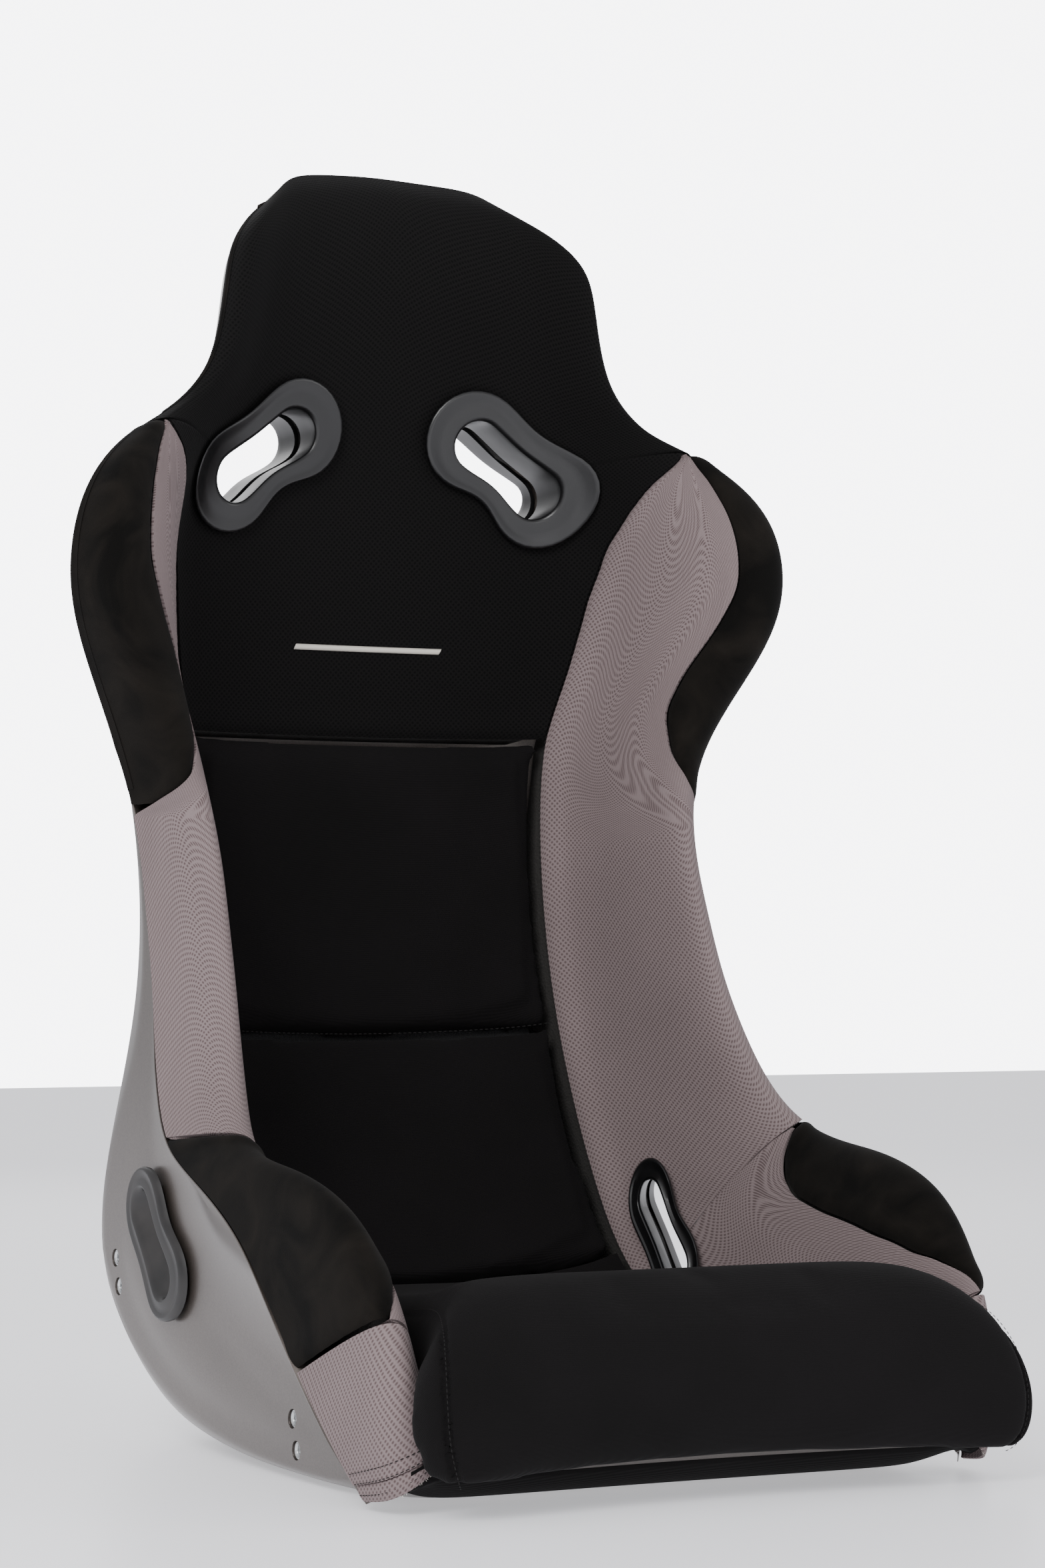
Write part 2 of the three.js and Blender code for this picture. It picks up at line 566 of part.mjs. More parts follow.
// Foam ----------------------------------------------------------------
const wideHalf = [0, 0.8, 1.6, 2.2, 2.6, 3, 3.4, 3.9, 4.4, 4.9, COVER_EDGE];
const wideLines = bothHalves(wideHalf);
const foamFace = below(FOAM_BELOW_COVER);
const foamBack = above(FOAM_ABOVE_SHELL);
const seamFoamGap = 0.19;
const sideFoamBlock = panel({
  outer: foamFace,
  inner: foamBack,
  from: 1.3,
  to: APEX - 0.3,
  edges: (v) => [seamAt(CENTRE_SEAM, v) + seamFoamGap, FOAM_EDGE],
  columns: 7,
  lines: SHELL_LINES,
});
const trimmedSideFoam = cut(sideFoamBlock, [coverEnvelope, shellEnvelope], 0.1);
const sideFoam = cut(trimmedSideFoam, [lapCut, ...boreCuts, ...plateRoom], 0.02);
const backFoamBlock = joined([
  panel({
    outer: foamFace,
    inner: foamBack,
    from: PAD_TOP + 0.03,
    to: APEX,
    edges: (v) => [seamFoamGap - seamAt(CENTRE_SEAM, v), seamAt(CENTRE_SEAM, v) - seamFoamGap],
    columns: 10,
    lines: SHELL_LINES,
  }),
  panel({
    outer: foamFace,
    inner: foamBack,
    from: APEX - 0.03,
    to: 22.1,
    columns: bothHalves([0, 1.2, 2.2, 2.8, 3.4, 4, 4.5, FOAM_EDGE]),
    lines: SHELL_LINES,
  }),
]);
const trimmedBackFoam = cut(backFoamBlock, [coverEnvelope, shellEnvelope], 0.1);
const backFoam = cut(trimmedBackFoam, bothSides([shoulderCut]), 0.02);
const backBaseFoam = panel({
  outer: below(PAD_THICKNESS + 6),
  inner: foamBack,
  from: PAD_BOTTOM,
  to: PAD_TOP - 0.03,
  edges: () => [-PAD_EDGE, PAD_EDGE],
  columns: 8,
});
const panFoam = panel({
  outer: foamFace,
  inner: foamBack,
  from: 0.4,
  to: PAD_BOTTOM - 0.07,
  edges: () => [-PAD_EDGE, PAD_EDGE],
  columns: 8,
});

// Sewn cover ----------------------------------------------------------
const clothInside = below(COVER_SKIN);
const cloth = (shape) => panel({ outer: COVER.at, inner: clothInside, ...shape });
const upperCover = cut(joined([
  cloth({
    from: PAD_TOP + 0.03,
    to: APEX + 0.02,
    edges: (v) => [PANEL_GAP - seamAt(CENTRE_SEAM, v), seamAt(CENTRE_SEAM, v) - PANEL_GAP],
    columns: 16,
  }),
  cloth({ from: APEX, to: LAST_STATION - 0.04, columns: wideLines }),
]), bothSides([shoulderCut]), 0.25);
const sideCover = cut(joined([
  cloth({
    from: 0.4,
    to: THIGH_PATCH[0],
    edges: (v) => [seamAt(CENTRE_SEAM, v) + PANEL_GAP, COVER_EDGE],
    columns: 8,
  }),
  cloth({
    from: THIGH_PATCH[0] - 0.03,
    to: THIGH_PATCH[1] + 0.03,
    edges: (v) => [seamAt(CENTRE_SEAM, v) + PANEL_GAP, seamAt(THIGH_SEAM, v) - PANEL_GAP],
    columns: 4,
  }),
  cloth({
    from: THIGH_PATCH[1],
    to: APEX - 0.05,
    edges: (v) => [seamAt(CENTRE_SEAM, v) + PANEL_GAP, seamAt(SHOULDER_SEAM, v) - PANEL_GAP],
    columns: 10,
  }),
]), [lapCut], 0.25);
const thighPatch = cloth({
  from: THIGH_PATCH[0] + 0.06,
  to: THIGH_PATCH[1] - 0.06,
  edges: (v) => [seamAt(THIGH_SEAM, v) + PANEL_GAP, COVER_EDGE],
  columns: 5,
});
const shoulderPatch = cloth({
  from: SHOULDER_PATCH[0],
  to: SHOULDER_PATCH[1],
  edges: (v) => [seamAt(SHOULDER_SEAM, v) + PANEL_GAP, COVER_EDGE],
  columns: 4,
});
const panCover = cloth({
  from: 0.12,
  to: PAD_BOTTOM - 0.07,
  edges: () => [-PAD_EDGE, PAD_EDGE],
  columns: 8,
});
const hemTape = panel({
  outer: COVER.raised(0.5),
  inner: clothInside,
  from: 0.12,
  to: 0.33,
  edges: () => [2 + PANEL_GAP, COVER_EDGE],
  columns: 8,
});

// Lumbar pad, lifted off as one piece. Its lower end is cut along the way it lifts ----
const padFloorBack = new THREE.Vector3(...LUMBAR_LIFT).normalize().negate();
const padFloor = (u, reach) => COVER.at(u, PAD_BOTTOM - 0.02).addScaledVector(padFloorBack, reach);
const padRoom = panel({
  outer: padFloor,
  inner: (u, reach) => padFloor(u, reach).add(new THREE.Vector3(0, 0, -80)),
  from: -30,
  to: 60,
  lines: [],
  edges: () => [-PAD_EDGE - 0.3, PAD_EDGE + 0.3],
  columns: 8,
});
const padInside = below(PAD_THICKNESS);
const pad = (from, to) => panel({
  outer: COVER.at,
  inner: padInside,
  from,
  to,
  edges: () => [-PAD_EDGE, PAD_EDGE],
  columns: 8,
});
const lumbarUpper = pad(PAD_MIDDLE + 0.01, PAD_TOP - 0.02);
const lumbarLower = cut(pad(PAD_BOTTOM, PAD_MIDDLE - 0.01), [padRoom], 0.05);
const lumbarBackingStrip = panel({
  outer: below(PAD_THICKNESS + 1),
  inner: below(PAD_THICKNESS + 2.3),
  from: PAD_BOTTOM + 0.05,
  to: PAD_TOP - 0.08,
  edges: () => [-PAD_EDGE + 0.05, PAD_EDGE - 0.05],
  columns: 8,
});
const lumbarBacking = cut(lumbarBackingStrip, [padRoom], 0.05);
const backHook = panel({
  outer: below(PAD_THICKNESS + 3.4),
  inner: below(PAD_THICKNESS + 4.6),
  from: 8,
  to: 11.5,
  edges: () => [-0.6, 0.6],
  columns: 3,
});

// Seat cushion, lifted off as one piece -------------------------------
const cushionLines = [0, 0.5, 1, 1.5, 2, 2.5, 3, 3.5, 4, 5, 6, 7, 8, 9, 9.5, 10, 10.5, 11];
const hookRise = 1.4;
const panHook = panel({
  outer: COVER.raised(0.8 + hookRise),
  inner: COVER.raised(0.8),
  from: 2.5,
  to: 5,
  edges: () => [-0.8, 0.8],
  columns: 4,
});
const cushionRoom = panel({
  outer: COVER.raised(0.8 + hookRise + 1),
  inner: COVER.raised(-14),
  from: 0.02,
  to: 8.5,
  columns: coverLines.filter((u) => Math.abs(u) < 5.4),
});
const bezelRoom = slotCutter(LAP_SLOT, 19.5, -62, -12);
const cushionCuts = [cushionRoom, ...bothSides([bezelRoom])];
const cushionPiece = (shape) => cut(panel({ lines: cushionLines, ...shape }), cushionCuts, 0.5);
const cushionCover = cushionPiece({
  outer: CUSHION.at,
  inner: CUSHION.raised(-COVER_SKIN),
  from: 0.05,
  to: 10.95,
  edges: () => [-2.98, 2.98],
  columns: 8,
});
const cushionGusset = cushionPiece({
  outer: CUSHION.at,
  inner: CUSHION.raised(-COVER_SKIN),
  from: 0.05,
  to: 10.95,
  edges: () => [3.02, 3.96],
  columns: 3,
});
const cushionFoam = cushionPiece({
  outer: CUSHION.raised(-COVER_SKIN - 5),
  inner: CUSHION_BASE.raised(5),
  from: 1.8,
  to: 10.7,
  edges: () => [-3.7, 3.7],
  columns: 8,
});
const cushionBase = cushionPiece({
  outer: CUSHION_BASE.raised(1.6),
  inner: CUSHION_BASE.at,
  from: 0.1,
  to: 10.85,
  edges: () => [-3.8, 3.8],
  columns: 8,
});

// Harness bezels ------------------------------------------------------
const shoulder = { slot: SHOULDER_SLOT, flange: 19 };
const lap = { slot: LAP_SLOT, flange: 16 };
const shoulderFront = bezel({ ...shoulder, surface: COVER, guess: [1.6, 16.4], up: -1 });
const shoulderRear = bezel({ ...shoulder, surface: SHELL, guess: [1.6, 16.4], up: 1 });
const lapInner = bezel({ ...lap, surface: COVER, guess: [2.5, 6.8], up: -1 });
const lapOuter = bezel({ ...lap, surface: SHELL, guess: [3.6, 7.4], up: 1 });

// Looks ---------------------------------------------------------------
const look = (color, roughness, metalness) => ({ color, roughness, metalness });
const LAMINATE = look(0x57524e, 0.42, 0.35);
const FOAM = look(0xb9b09a, 0.95, 0);
const BLACK_MESH = look(0x1c1b1c, 0.95, 0);
const GREY_MESH = look(0x857979, 0.95, 0);
const SUEDE = look(0x1d1c1a, 0.98, 0);
const PAD_CLOTH = look(0x242325, 0.92, 0);
const PLASTIC = look(0x141415, 0.5, 0);
const STEEL = look(0xb8bbbd, 0.35, 0.9);
const HOOK = look(0x2b2b2c, 0.9, 0);
const TAPE = look(0x1a1918, 0.9, 0);

const group = new THREE.Group();
group.name = 'racing_seat';

function place(name, geometry, { color, roughness, metalness }) {
  const flat = outwards(geometry.index ? geometry : mergeVertices(geometry)).toNonIndexed();
  flat.computeVertexNormals();
  flat.translate(0, -CENTRE_Y, 0);
  const mesh = new THREE.Mesh(flat, new THREE.MeshStandardMaterial({ color, roughness, metalness }));
  mesh.name = name;
  group.add(mesh);
}

function placePair(name, leftGeometry, finish) {
  place(`${name}_left`, leftGeometry, finish);
  place(`${name}_right`, mirrored(outwards(leftGeometry)), finish);
}

place('shell', shell, LAMINATE);
placePair('mount_plate_front', frontPlate, STEEL);
placePair('mount_plate_rear', rearPlate, STEEL);
INSERTS.forEach(([name, y, z]) => placePair(`mount_insert_${name}`, insert(y, z), STEEL));
place('pan_foam', panFoam, FOAM);
place('back_base_foam', backBaseFoam, FOAM);
place('back_foam', backFoam, FOAM);
placePair('side_foam', sideFoam, FOAM);
place('upper_cover', upperCover, BLACK_MESH);
placePair('side_cover', sideCover, GREY_MESH);
placePair('thigh_patch', thighPatch, SUEDE);
placePair('shoulder_patch', shoulderPatch, SUEDE);
place('pan_cover', panCover, PAD_CLOTH);
placePair('hem_tape', hemTape, TAPE);
place('pan_hook_strip', panHook, HOOK);
place('back_hook_strip', backHook, HOOK);
placePair('shoulder_bezel_front', shoulderFront, PLASTIC);
placePair('shoulder_bezel_rear', shoulderRear, PLASTIC);
placePair('lap_bezel_inner', lapInner, PLASTIC);
placePair('lap_bezel_outer', lapOuter, PLASTIC);
place('lumbar_pad_upper', lumbarUpper, PAD_CLOTH);
place('lumbar_pad_lower', lumbarLower, PAD_CLOTH);
place('lumbar_backing', lumbarBacking, HOOK);
place('seat_cushion_cover', cushionCover, PAD_CLOTH);
placePair('seat_cushion_gusset', cushionGusset, PAD_CLOTH);
place('seat_cushion_foam', cushionFoam, FOAM);
place('seat_cushion_base', cushionBase, HOOK);

export default group;
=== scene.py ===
import math
import random

import bmesh
import bpy
import numpy as np
from mathutils import Matrix, Vector
from mathutils.kdtree import KDTree


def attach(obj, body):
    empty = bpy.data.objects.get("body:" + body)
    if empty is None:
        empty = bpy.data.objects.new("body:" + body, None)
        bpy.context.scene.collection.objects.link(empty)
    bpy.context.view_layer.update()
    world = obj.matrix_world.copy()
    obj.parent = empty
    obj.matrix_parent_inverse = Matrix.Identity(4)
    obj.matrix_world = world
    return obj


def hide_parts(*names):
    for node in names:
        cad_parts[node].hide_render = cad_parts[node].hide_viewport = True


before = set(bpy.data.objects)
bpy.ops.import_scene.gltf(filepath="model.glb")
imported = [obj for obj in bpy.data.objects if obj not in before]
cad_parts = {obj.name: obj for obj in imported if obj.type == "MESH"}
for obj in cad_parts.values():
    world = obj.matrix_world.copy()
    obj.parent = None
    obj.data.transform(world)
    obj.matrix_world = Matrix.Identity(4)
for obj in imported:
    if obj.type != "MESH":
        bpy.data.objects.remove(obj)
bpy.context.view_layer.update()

# --- Camera and studio ------------------------------------------------------------------
# A white cyclorama: pale floor running into a white surround, one large softbox high on
# the left, a weaker one on the right and a strip behind that edges the dark cloth.
TURN, PITCH = math.radians(28), math.radians(2.368)
looking = Vector((math.sin(TURN) * math.cos(PITCH), math.cos(TURN) * math.cos(PITCH), math.sin(PITCH)))
camera = bpy.data.objects.new("camera", bpy.data.cameras.new("camera"))
camera.data.lens = 91.8
camera.location = (-1.304, -2.456, 0.347)
camera.rotation_euler = looking.to_track_quat("-Z", "Y").to_euler()
bpy.context.collection.objects.link(camera)
bpy.context.scene.camera = camera


def linear(code):
    """An sRGB hex colour as linear RGBA"""
    parts = [int(code[k:k + 2], 16) / 255 for k in (1, 3, 5)]
    return tuple(c / 12.92 if c <= 0.04045 else ((c + 0.055) / 1.055) ** 2.4 for c in parts) + (1.0,)


def add(material, kind, sockets=(), **settings):
    """One shader node with its settings, and each socket's value or link"""
    node = material.node_tree.nodes.new("ShaderNode" + kind)
    for name, value in settings.items():
        setattr(node, name, value)
    for name, value in dict(sockets).items():
        if isinstance(value, bpy.types.NodeSocket):
            material.node_tree.links.new(value, node.inputs[name])
        else:
            node.inputs[name].default_value = value
    return node


def finish_named(name, base, **sockets):
    """A new material and its shader, with plain values on the shader's own sockets"""
    material = bpy.data.materials.new(name)
    material.use_nodes = True
    shader = material.node_tree.nodes["Principled BSDF"]
    shader.inputs["Base Color"].default_value = linear(base)
    for socket, value in sockets.items():
        shader.inputs[socket.replace("_", " ").title().replace("Ior", "IOR")].default_value = value
    return material, shader


def feed(shader, socket, source):
    """Links a pattern to one of the shader's sockets"""
    shader.id_data.links.new(source, shader.inputs[socket])


world = bpy.data.worlds.new("surround")
bpy.context.scene.world = world
world.use_nodes = True
SURROUND = 0.85                   # light from the surround
BACKDROP = 7.0                    # its brightness where it is seen past the seat
backdrop = world.node_tree.nodes["Background"]
backdrop.inputs["Color"].default_value = linear("#fbfbff")
seen = world.node_tree.nodes.new("ShaderNodeLightPath")
level = world.node_tree.nodes.new("ShaderNodeMapRange")
level.inputs["To Min"].default_value = SURROUND
level.inputs["To Max"].default_value = BACKDROP
world.node_tree.links.new(seen.outputs["Is Camera Ray"], level.inputs["Value"])
world.node_tree.links.new(level.outputs["Result"], backdrop.inputs["Strength"])

for name, place, size, power in (("key", (-2.6, -2.4, 2.4), 1.6, 120),
                                 ("fill", (2.6, -1.8, 1.5), 1.6, 18),
                                 ("front", (-0.4, -3.4, 0.9), 1.2, 16),
                                 ("edge", (0.4, 2.6, 2.0), 2.2, 25)):
    lamp = bpy.data.objects.new(name, bpy.data.lights.new(name, "AREA"))
    lamp.data.energy = power
    lamp.data.size = size
    lamp.location = place
    lamp.rotation_euler = (Vector((0, 0, 0.4)) - Vector(place)).to_track_quat("-Z", "Y").to_euler()
    bpy.context.collection.objects.link(lamp)

floor_shape = bmesh.new()
bmesh.ops.create_grid(floor_shape, x_segments=1, y_segments=1, size=7)
floor_mesh = bpy.data.meshes.new("floor")
floor_shape.to_mesh(floor_mesh)
floor = bpy.data.objects.new("floor", floor_mesh)
bpy.context.collection.objects.link(floor)
floor_paint, _ = finish_named("painted_floor", "#f6f6fa", roughness=0.32, emission_color=linear("#f8f8fc"),
                              emission_strength=0.5)
floor_mesh.materials.append(floor_paint)

# --- Shell ------------------------------------------------------------------------------
# The moulding: glass fibre laid up by hand in a two-part mould, 5 mm thick, thinner at its
# trimmed rim, and gel-coated. It carries the slots and the side bushes.
CENTRE_Y = -247.75
FLAT_X = 205
SHELL_WALL = 5
COVER_STATIONS = [
    [(-495, 35), (165, -495, 30), (192, -500, 24), (208, -506, 14), (221, -492, 3), (222, -460, 2)],
    [(-470, 52), (165, -470, 55), (190, -490, 62), (208, -514, 66), (232, -500, 56), (236, -438, 38)],
    [(-430, 52), (165, -430, 55), (188, -455, 92), (206, -496, 130), (233, -492, 130), (243, -394, 86)],
    [(-370, 50), (165, -375, 54), (184, -405, 105), (205, -448, 180), (235, -452, 187), (246, -355, 130)],
    [(-300, 50), (165, -310, 56), (182, -335, 115), (205, -382, 202), (236, -390, 209), (247, -318, 164)],
    [(-220, 52), (165, -235, 62), (180, -265, 125), (205, -325, 207), (236, -334, 213), (248, -262, 190)],
    [(-145, 62), (162, -165, 80), (177, -205, 142), (203, -280, 212), (232, -284, 218), (246, -205, 208)],
    [(-85, 100), (158, -115, 120), (174, -160, 170), (197, -250, 230), (223, -244, 238), (240, -172, 234)],
    [(-40, 170), (156, -75, 185), (172, -124, 222), (190, -226, 266), (213, -213, 278), (233, -147, 280)],
    [(-8, 250), (155, -38, 258), (169, -96, 282), (185, -205, 314), (207, -185, 326), (227, -127, 326)],
    [(10, 330), (155, -10, 335), (167, -76, 350), (182, -187, 368), (205, -162, 377), (224, -108, 377)],
    [(17, 410), (155, 2, 412), (166, -62, 420), (182, -164, 430), (204, -140, 437), (222, -87, 436)],
    [(14, 480), (155, 2, 482), (170, -50, 487), (186, -134, 492), (219, -131, 495), (235, -79, 495)],
    [(6, 545), (163, -6, 545), (183, -60, 546), (203, -130, 548), (251, -154, 550), (266, -102, 549)],
    [(-3, 605), (172, -20, 605), (189, -80, 605), (220, -150, 605), (276, -172, 604), (290, -124, 602)],
    [(-10, 655), (174, -32, 658), (189, -92, 660), (224, -150, 664), (270, -168, 667), (282, -130, 667)],
    [(-16, 695), (150, -38, 700), (176, -82, 706), (204, -118, 713), (232, -132, 715), (244, -116, 708)],
    [(-22, 728), (122, -40, 729), (146, -62, 731), (165, -84, 733), (184, -100, 735), (195, -90, 731)],
    [(-32, 766), (103, -46, 766), (124, -64, 766), (140, -84, 766), (155, -98, 766), (163, -85, 764)],
    [(-44, 808), (98, -57, 808), (118, -73, 808), (134, -91, 808), (147, -100, 808), (153, -82, 806)],
    [(-56, 848), (95, -67, 848), (114, -82, 848), (130, -97, 848), (143, -101, 847), (148, -81, 845)],
    [(-58, 883), (88, -68, 880), (105, -78, 876), (120, -88, 872), (133, -91, 868), (139, -74, 864)],
    [(-46, 911), (78, -56, 905), (94, -62, 899), (106, -70, 892), (116, -73, 886), (122, -60, 881)],
    [(-22, 926), (70, -30, 921), (84, -37, 913), (94, -46, 904), (102, -50, 897), (106, -46, 892)],
]
SHELL_STATIONS = [
    [(-501, 28), (150, -501, 26), (188, -500, 22), (206, -488, 16), (218, -470, 8)],
    [(-472, 5), (150, -474, 5), (188, -476, 8), (208, -466, 16), (222, -450, 30)],
    [(-425, 0), (148, -428, 0), (194, -436, 0), (209, -434, 26), (219, -424, 64)],
    [(-362, 0), (150, -366, 0), (214, -384, 0), (209, -386, 34), (214, -382, 92)],
    [(-290, 0), (150, -296, 0), (216, -320, 0), (209, -324, 45), (213, -326, 118)],
    [(-195, 0), (150, -205, 0), (216, -240, 0), (209, -258, 62), (213, -266, 138)],
    [(-105, 0), (149, -118, 0), (218, -155, 12), (209, -192, 84), (213, -218, 160)],
    [(-15, 0), (146, -28, 4), (218, -66, 38), (209, -122, 110), (213, -182, 196)],
    [(38, 118), (144, 28, 112), (216, 46, 94), (209, -58, 162), (214, -145, 240)],
    [(58, 215), (140, 50, 206), (211, 36, 168), (208, -40, 235), (214, -112, 290)],
    [(64, 310), (138, 50, 308), (180, 12, 290), (200, -41, 315), (212, -90, 345)],
    [(62, 400), (140, 47, 400), (177, 8, 385), (200, -44, 395), (211, -80, 410)],
    [(57, 475), (146, 42, 475), (184, 7, 468), (213, -47, 474), (222, -77, 483)],
    [(51, 543), (152, 36, 543), (197, 2, 540), (234, -51, 545), (249, -86, 545)],
    [(45, 604), (155, 31, 604), (201, -4, 604), (240, -53, 600), (273, -97, 598)],
    [(39, 655), (149, 25, 657), (186, -5, 658), (224, -48, 658), (266, -94, 654)],
    [(34, 698), (131, 19, 702), (155, -10, 706), (191, -40, 706), (228, -77, 706)],
    [(30, 732), (118, 14, 733), (139, -11, 735), (160, -38, 733), (181, -64, 732)],
    [(26, 767), (109, 10, 767), (129, -12, 764), (145, -38, 763), (156, -64, 764)],
    [(24, 808), (103, 8, 808), (122, -10, 808), (137, -34, 808), (147, -60, 808)],
    [(22, 850), (100, 6, 849), (118, -10, 848), (132, -32, 847), (142, -58, 846)],
    [(16, 886), (90, 2, 883), (106, -11, 879), (119, -32, 874), (130, -54, 869)],
    [(4, 912), (80, -6, 906), (94, -17, 899), (105, -33, 892), (114, -48, 886)],
    [(-18, 925), (70, -27, 920), (84, -35, 912), (94, -44, 903), (102, -49, 896)],
]
LAST_STATION = len(COVER_STATIONS) - 1


def curve_weights(t):
    s = 1 - t
    return np.stack([s**3, 3 * t**3 - 6 * t**2 + 4, 3 * s**3 - 6 * s**2 + 4, t**3], -1) / 6


def with_ends(net):
    """The net with a point added past each end, so that the surface reaches its last rows"""
    return np.concatenate([2 * net[:1] - net[1:2], net, 2 * net[-1:] - net[-2:-1]])


class Surface:
    """A smooth cubic surface over mirrored stations: u across the seat, v from station to station"""

    def __init__(self, half_stations, pressed=None):
        rows = []
        for (y, z), *outer in half_stations:
            foot = outer[0]
            middle = (foot[0] / 2, y + (foot[1] - y) * 0.25, z + (foot[2] - z) * 0.35)
            half = [(0, y, z), middle, *outer]
            rows.append([(-px, py, pz) for px, py, pz in half[:0:-1]] + half)
        net = np.array(rows, float)
        self.reach = (net.shape[1] - 1) / 2
        self.last = net.shape[0] - 1
        self.net = with_ends(with_ends(net).transpose(1, 0, 2)).transpose(1, 0, 2)
        self.pressed = pressed

    def at(self, u, v):
        """Points in the row frame, in metres"""
        u, v = np.broadcast_arrays(np.asarray(u, float) + self.reach, np.asarray(v, float))
        u = np.clip(u, 0, 2 * self.reach - 1e-9)
        v = np.clip(v, 0, self.last - 1e-9)
        i, j = np.floor(u).astype(int), np.floor(v).astype(int)
        across, along = curve_weights(u - i), curve_weights(v - j)
        point = sum(self.net[j + n, i + m] * (across[..., m] * along[..., n])[..., None]
                    for m in range(4) for n in range(4))
        if self.pressed:
            point = self.pressed(point)
        return (point - (0, CENTRE_Y, 0)) / 1000

    def normal(self, u, v):
        step = 0.02
        u = np.clip(u, step - self.reach, self.reach - step)
        v = np.clip(v, step, self.last - step)
        across = self.at(u + step, v) - self.at(u - step, v)
        square = np.cross(across, self.at(u, v + step) - self.at(u, v - step))
        return square / np.linalg.norm(square, axis=-1, keepdims=True)

    def raised(self, u, v, height):
        """Points that stand a height in mm off the surface, toward the occupant"""
        return self.at(u, v) + self.normal(u, v) * (np.asarray(height)[..., None] / 1000)


def with_flat_sides(point):
    """The walls are pressed flat where the rails bolt on, and flare out above"""
    x = np.abs(point[..., 0])
    flat_to, flare_to = FLAT_X + 6, FLAT_X + 30
    pressed = np.interp(x, [0, FLAT_X, flat_to, flare_to, 1000], [0, FLAT_X, FLAT_X, flare_to, 1000])
    return np.concatenate([(np.sign(point[..., 0]) * pressed)[..., None], point[..., 1:]], -1)


COVER = Surface(COVER_STATIONS)
SHELL = Surface([[*inner, cover[-1]] for inner, cover in zip(SHELL_STATIONS, COVER_STATIONS)],
                with_flat_sides)


def lengths(points):
    """How far along its line each point of a lattice lies, in metres"""
    steps = np.linalg.norm(np.diff(points, axis=0), axis=-1)
    return np.concatenate([np.zeros_like(steps[:1]), np.cumsum(steps, axis=0)])


def moved_grid(across, along, place, depth=None, weld=False, weave_from=None):
    """A grid whose points go where place(s, t) says. depth(s, t) in mm makes it a solid, away
    from its face. Its UV map is in metres along the cloth, from the middle or the column weave_from."""
    shape = bmesh.new()
    bmesh.ops.create_grid(shape, x_segments=across, y_segments=along, size=0.5)
    s = np.array([v.co.x for v in shape.verts]) + 0.5
    t = np.array([v.co.y for v in shape.verts]) + 0.5
    points = place(s, t)
    for vertex, point in zip(shape.verts, points):
        vertex.co = point
    lattice = points.reshape(along + 1, across + 1, 3)
    wide = lengths(lattice.transpose(1, 0, 2)).T.ravel()
    rows = wide.reshape(along + 1, -1)
    start = rows.mean(axis=1) if weave_from is None else rows[:, weave_from]
    wide = wide - start.repeat(across + 1)
    long = lengths(lattice).ravel()
    cloth = shape.loops.layers.uv.new("cloth")
    for face in shape.faces:
        face.smooth = True
        for loop in face.loops:
            loop[cloth].uv = (wide[loop.vert.index], long[loop.vert.index])
    if depth is not None:
        shape.normal_update()
        normals = [v.normal.copy() for v in shape.verts]
        inward = depth(s, t) / 1000
        marks = shape.verts.layers.int.new("mark")
        for vertex in shape.verts:
            vertex[marks] = vertex.index
        made = bmesh.ops.extrude_face_region(shape, geom=shape.faces[:], use_keep_orig=True)
        for vertex in (g for g in made["geom"] if isinstance(g, bmesh.types.BMVert)):
            vertex.co = vertex.co - normals[vertex[marks]] * inward[vertex[marks]]
        bmesh.ops.recalc_face_normals(shape, faces=shape.faces[:])
    if weld:
        bmesh.ops.remove_doubles(shape, verts=shape.verts[:], dist=1e-6)
    return shape


def made_piece(name, shape, material, body="seat", replaces=(), sharp=50):
    """The finished piece: its mesh, its finish, and what it rides on and stands for"""
    mesh = bpy.data.meshes.new(name)
    for face in shape.faces:
        face.smooth = True
    shape.to_mesh(mesh)
    shape.free()
    mesh.set_sharp_from_angle(angle=math.radians(sharp))
    mesh.materials.append(material)
    piece = bpy.data.objects.new(name, mesh)
    bpy.context.collection.objects.link(piece)
    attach(piece, body)
    if replaces:
        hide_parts(*replaces)
    return piece


def applied(piece):
    """The piece with its modifiers applied to its mesh"""
    graph = bpy.context.evaluated_depsgraph_get()
    mesh = bpy.data.meshes.new_from_object(piece.evaluated_get(graph))
    old = piece.data
    piece.modifiers.clear()
    piece.data = mesh
    bpy.data.meshes.remove(old)


def cut_away(piece, *cutters):
    """Takes closed shapes out of a closed piece"""
    for shape in cutters:
        mesh = bpy.data.meshes.new("cutter")
        shape.to_mesh(mesh)
        cutter = bpy.data.objects.new("cutter", mesh)
        bpy.context.collection.objects.link(cutter)
        tool = piece.modifiers.new("cut", "BOOLEAN")
        tool.operation = "DIFFERENCE"
        tool.solver = "EXACT"
        tool.object = cutter
        bpy.context.view_layer.update()
        applied(piece)
        bpy.data.objects.remove(cutter)
        bpy.data.meshes.remove(mesh)


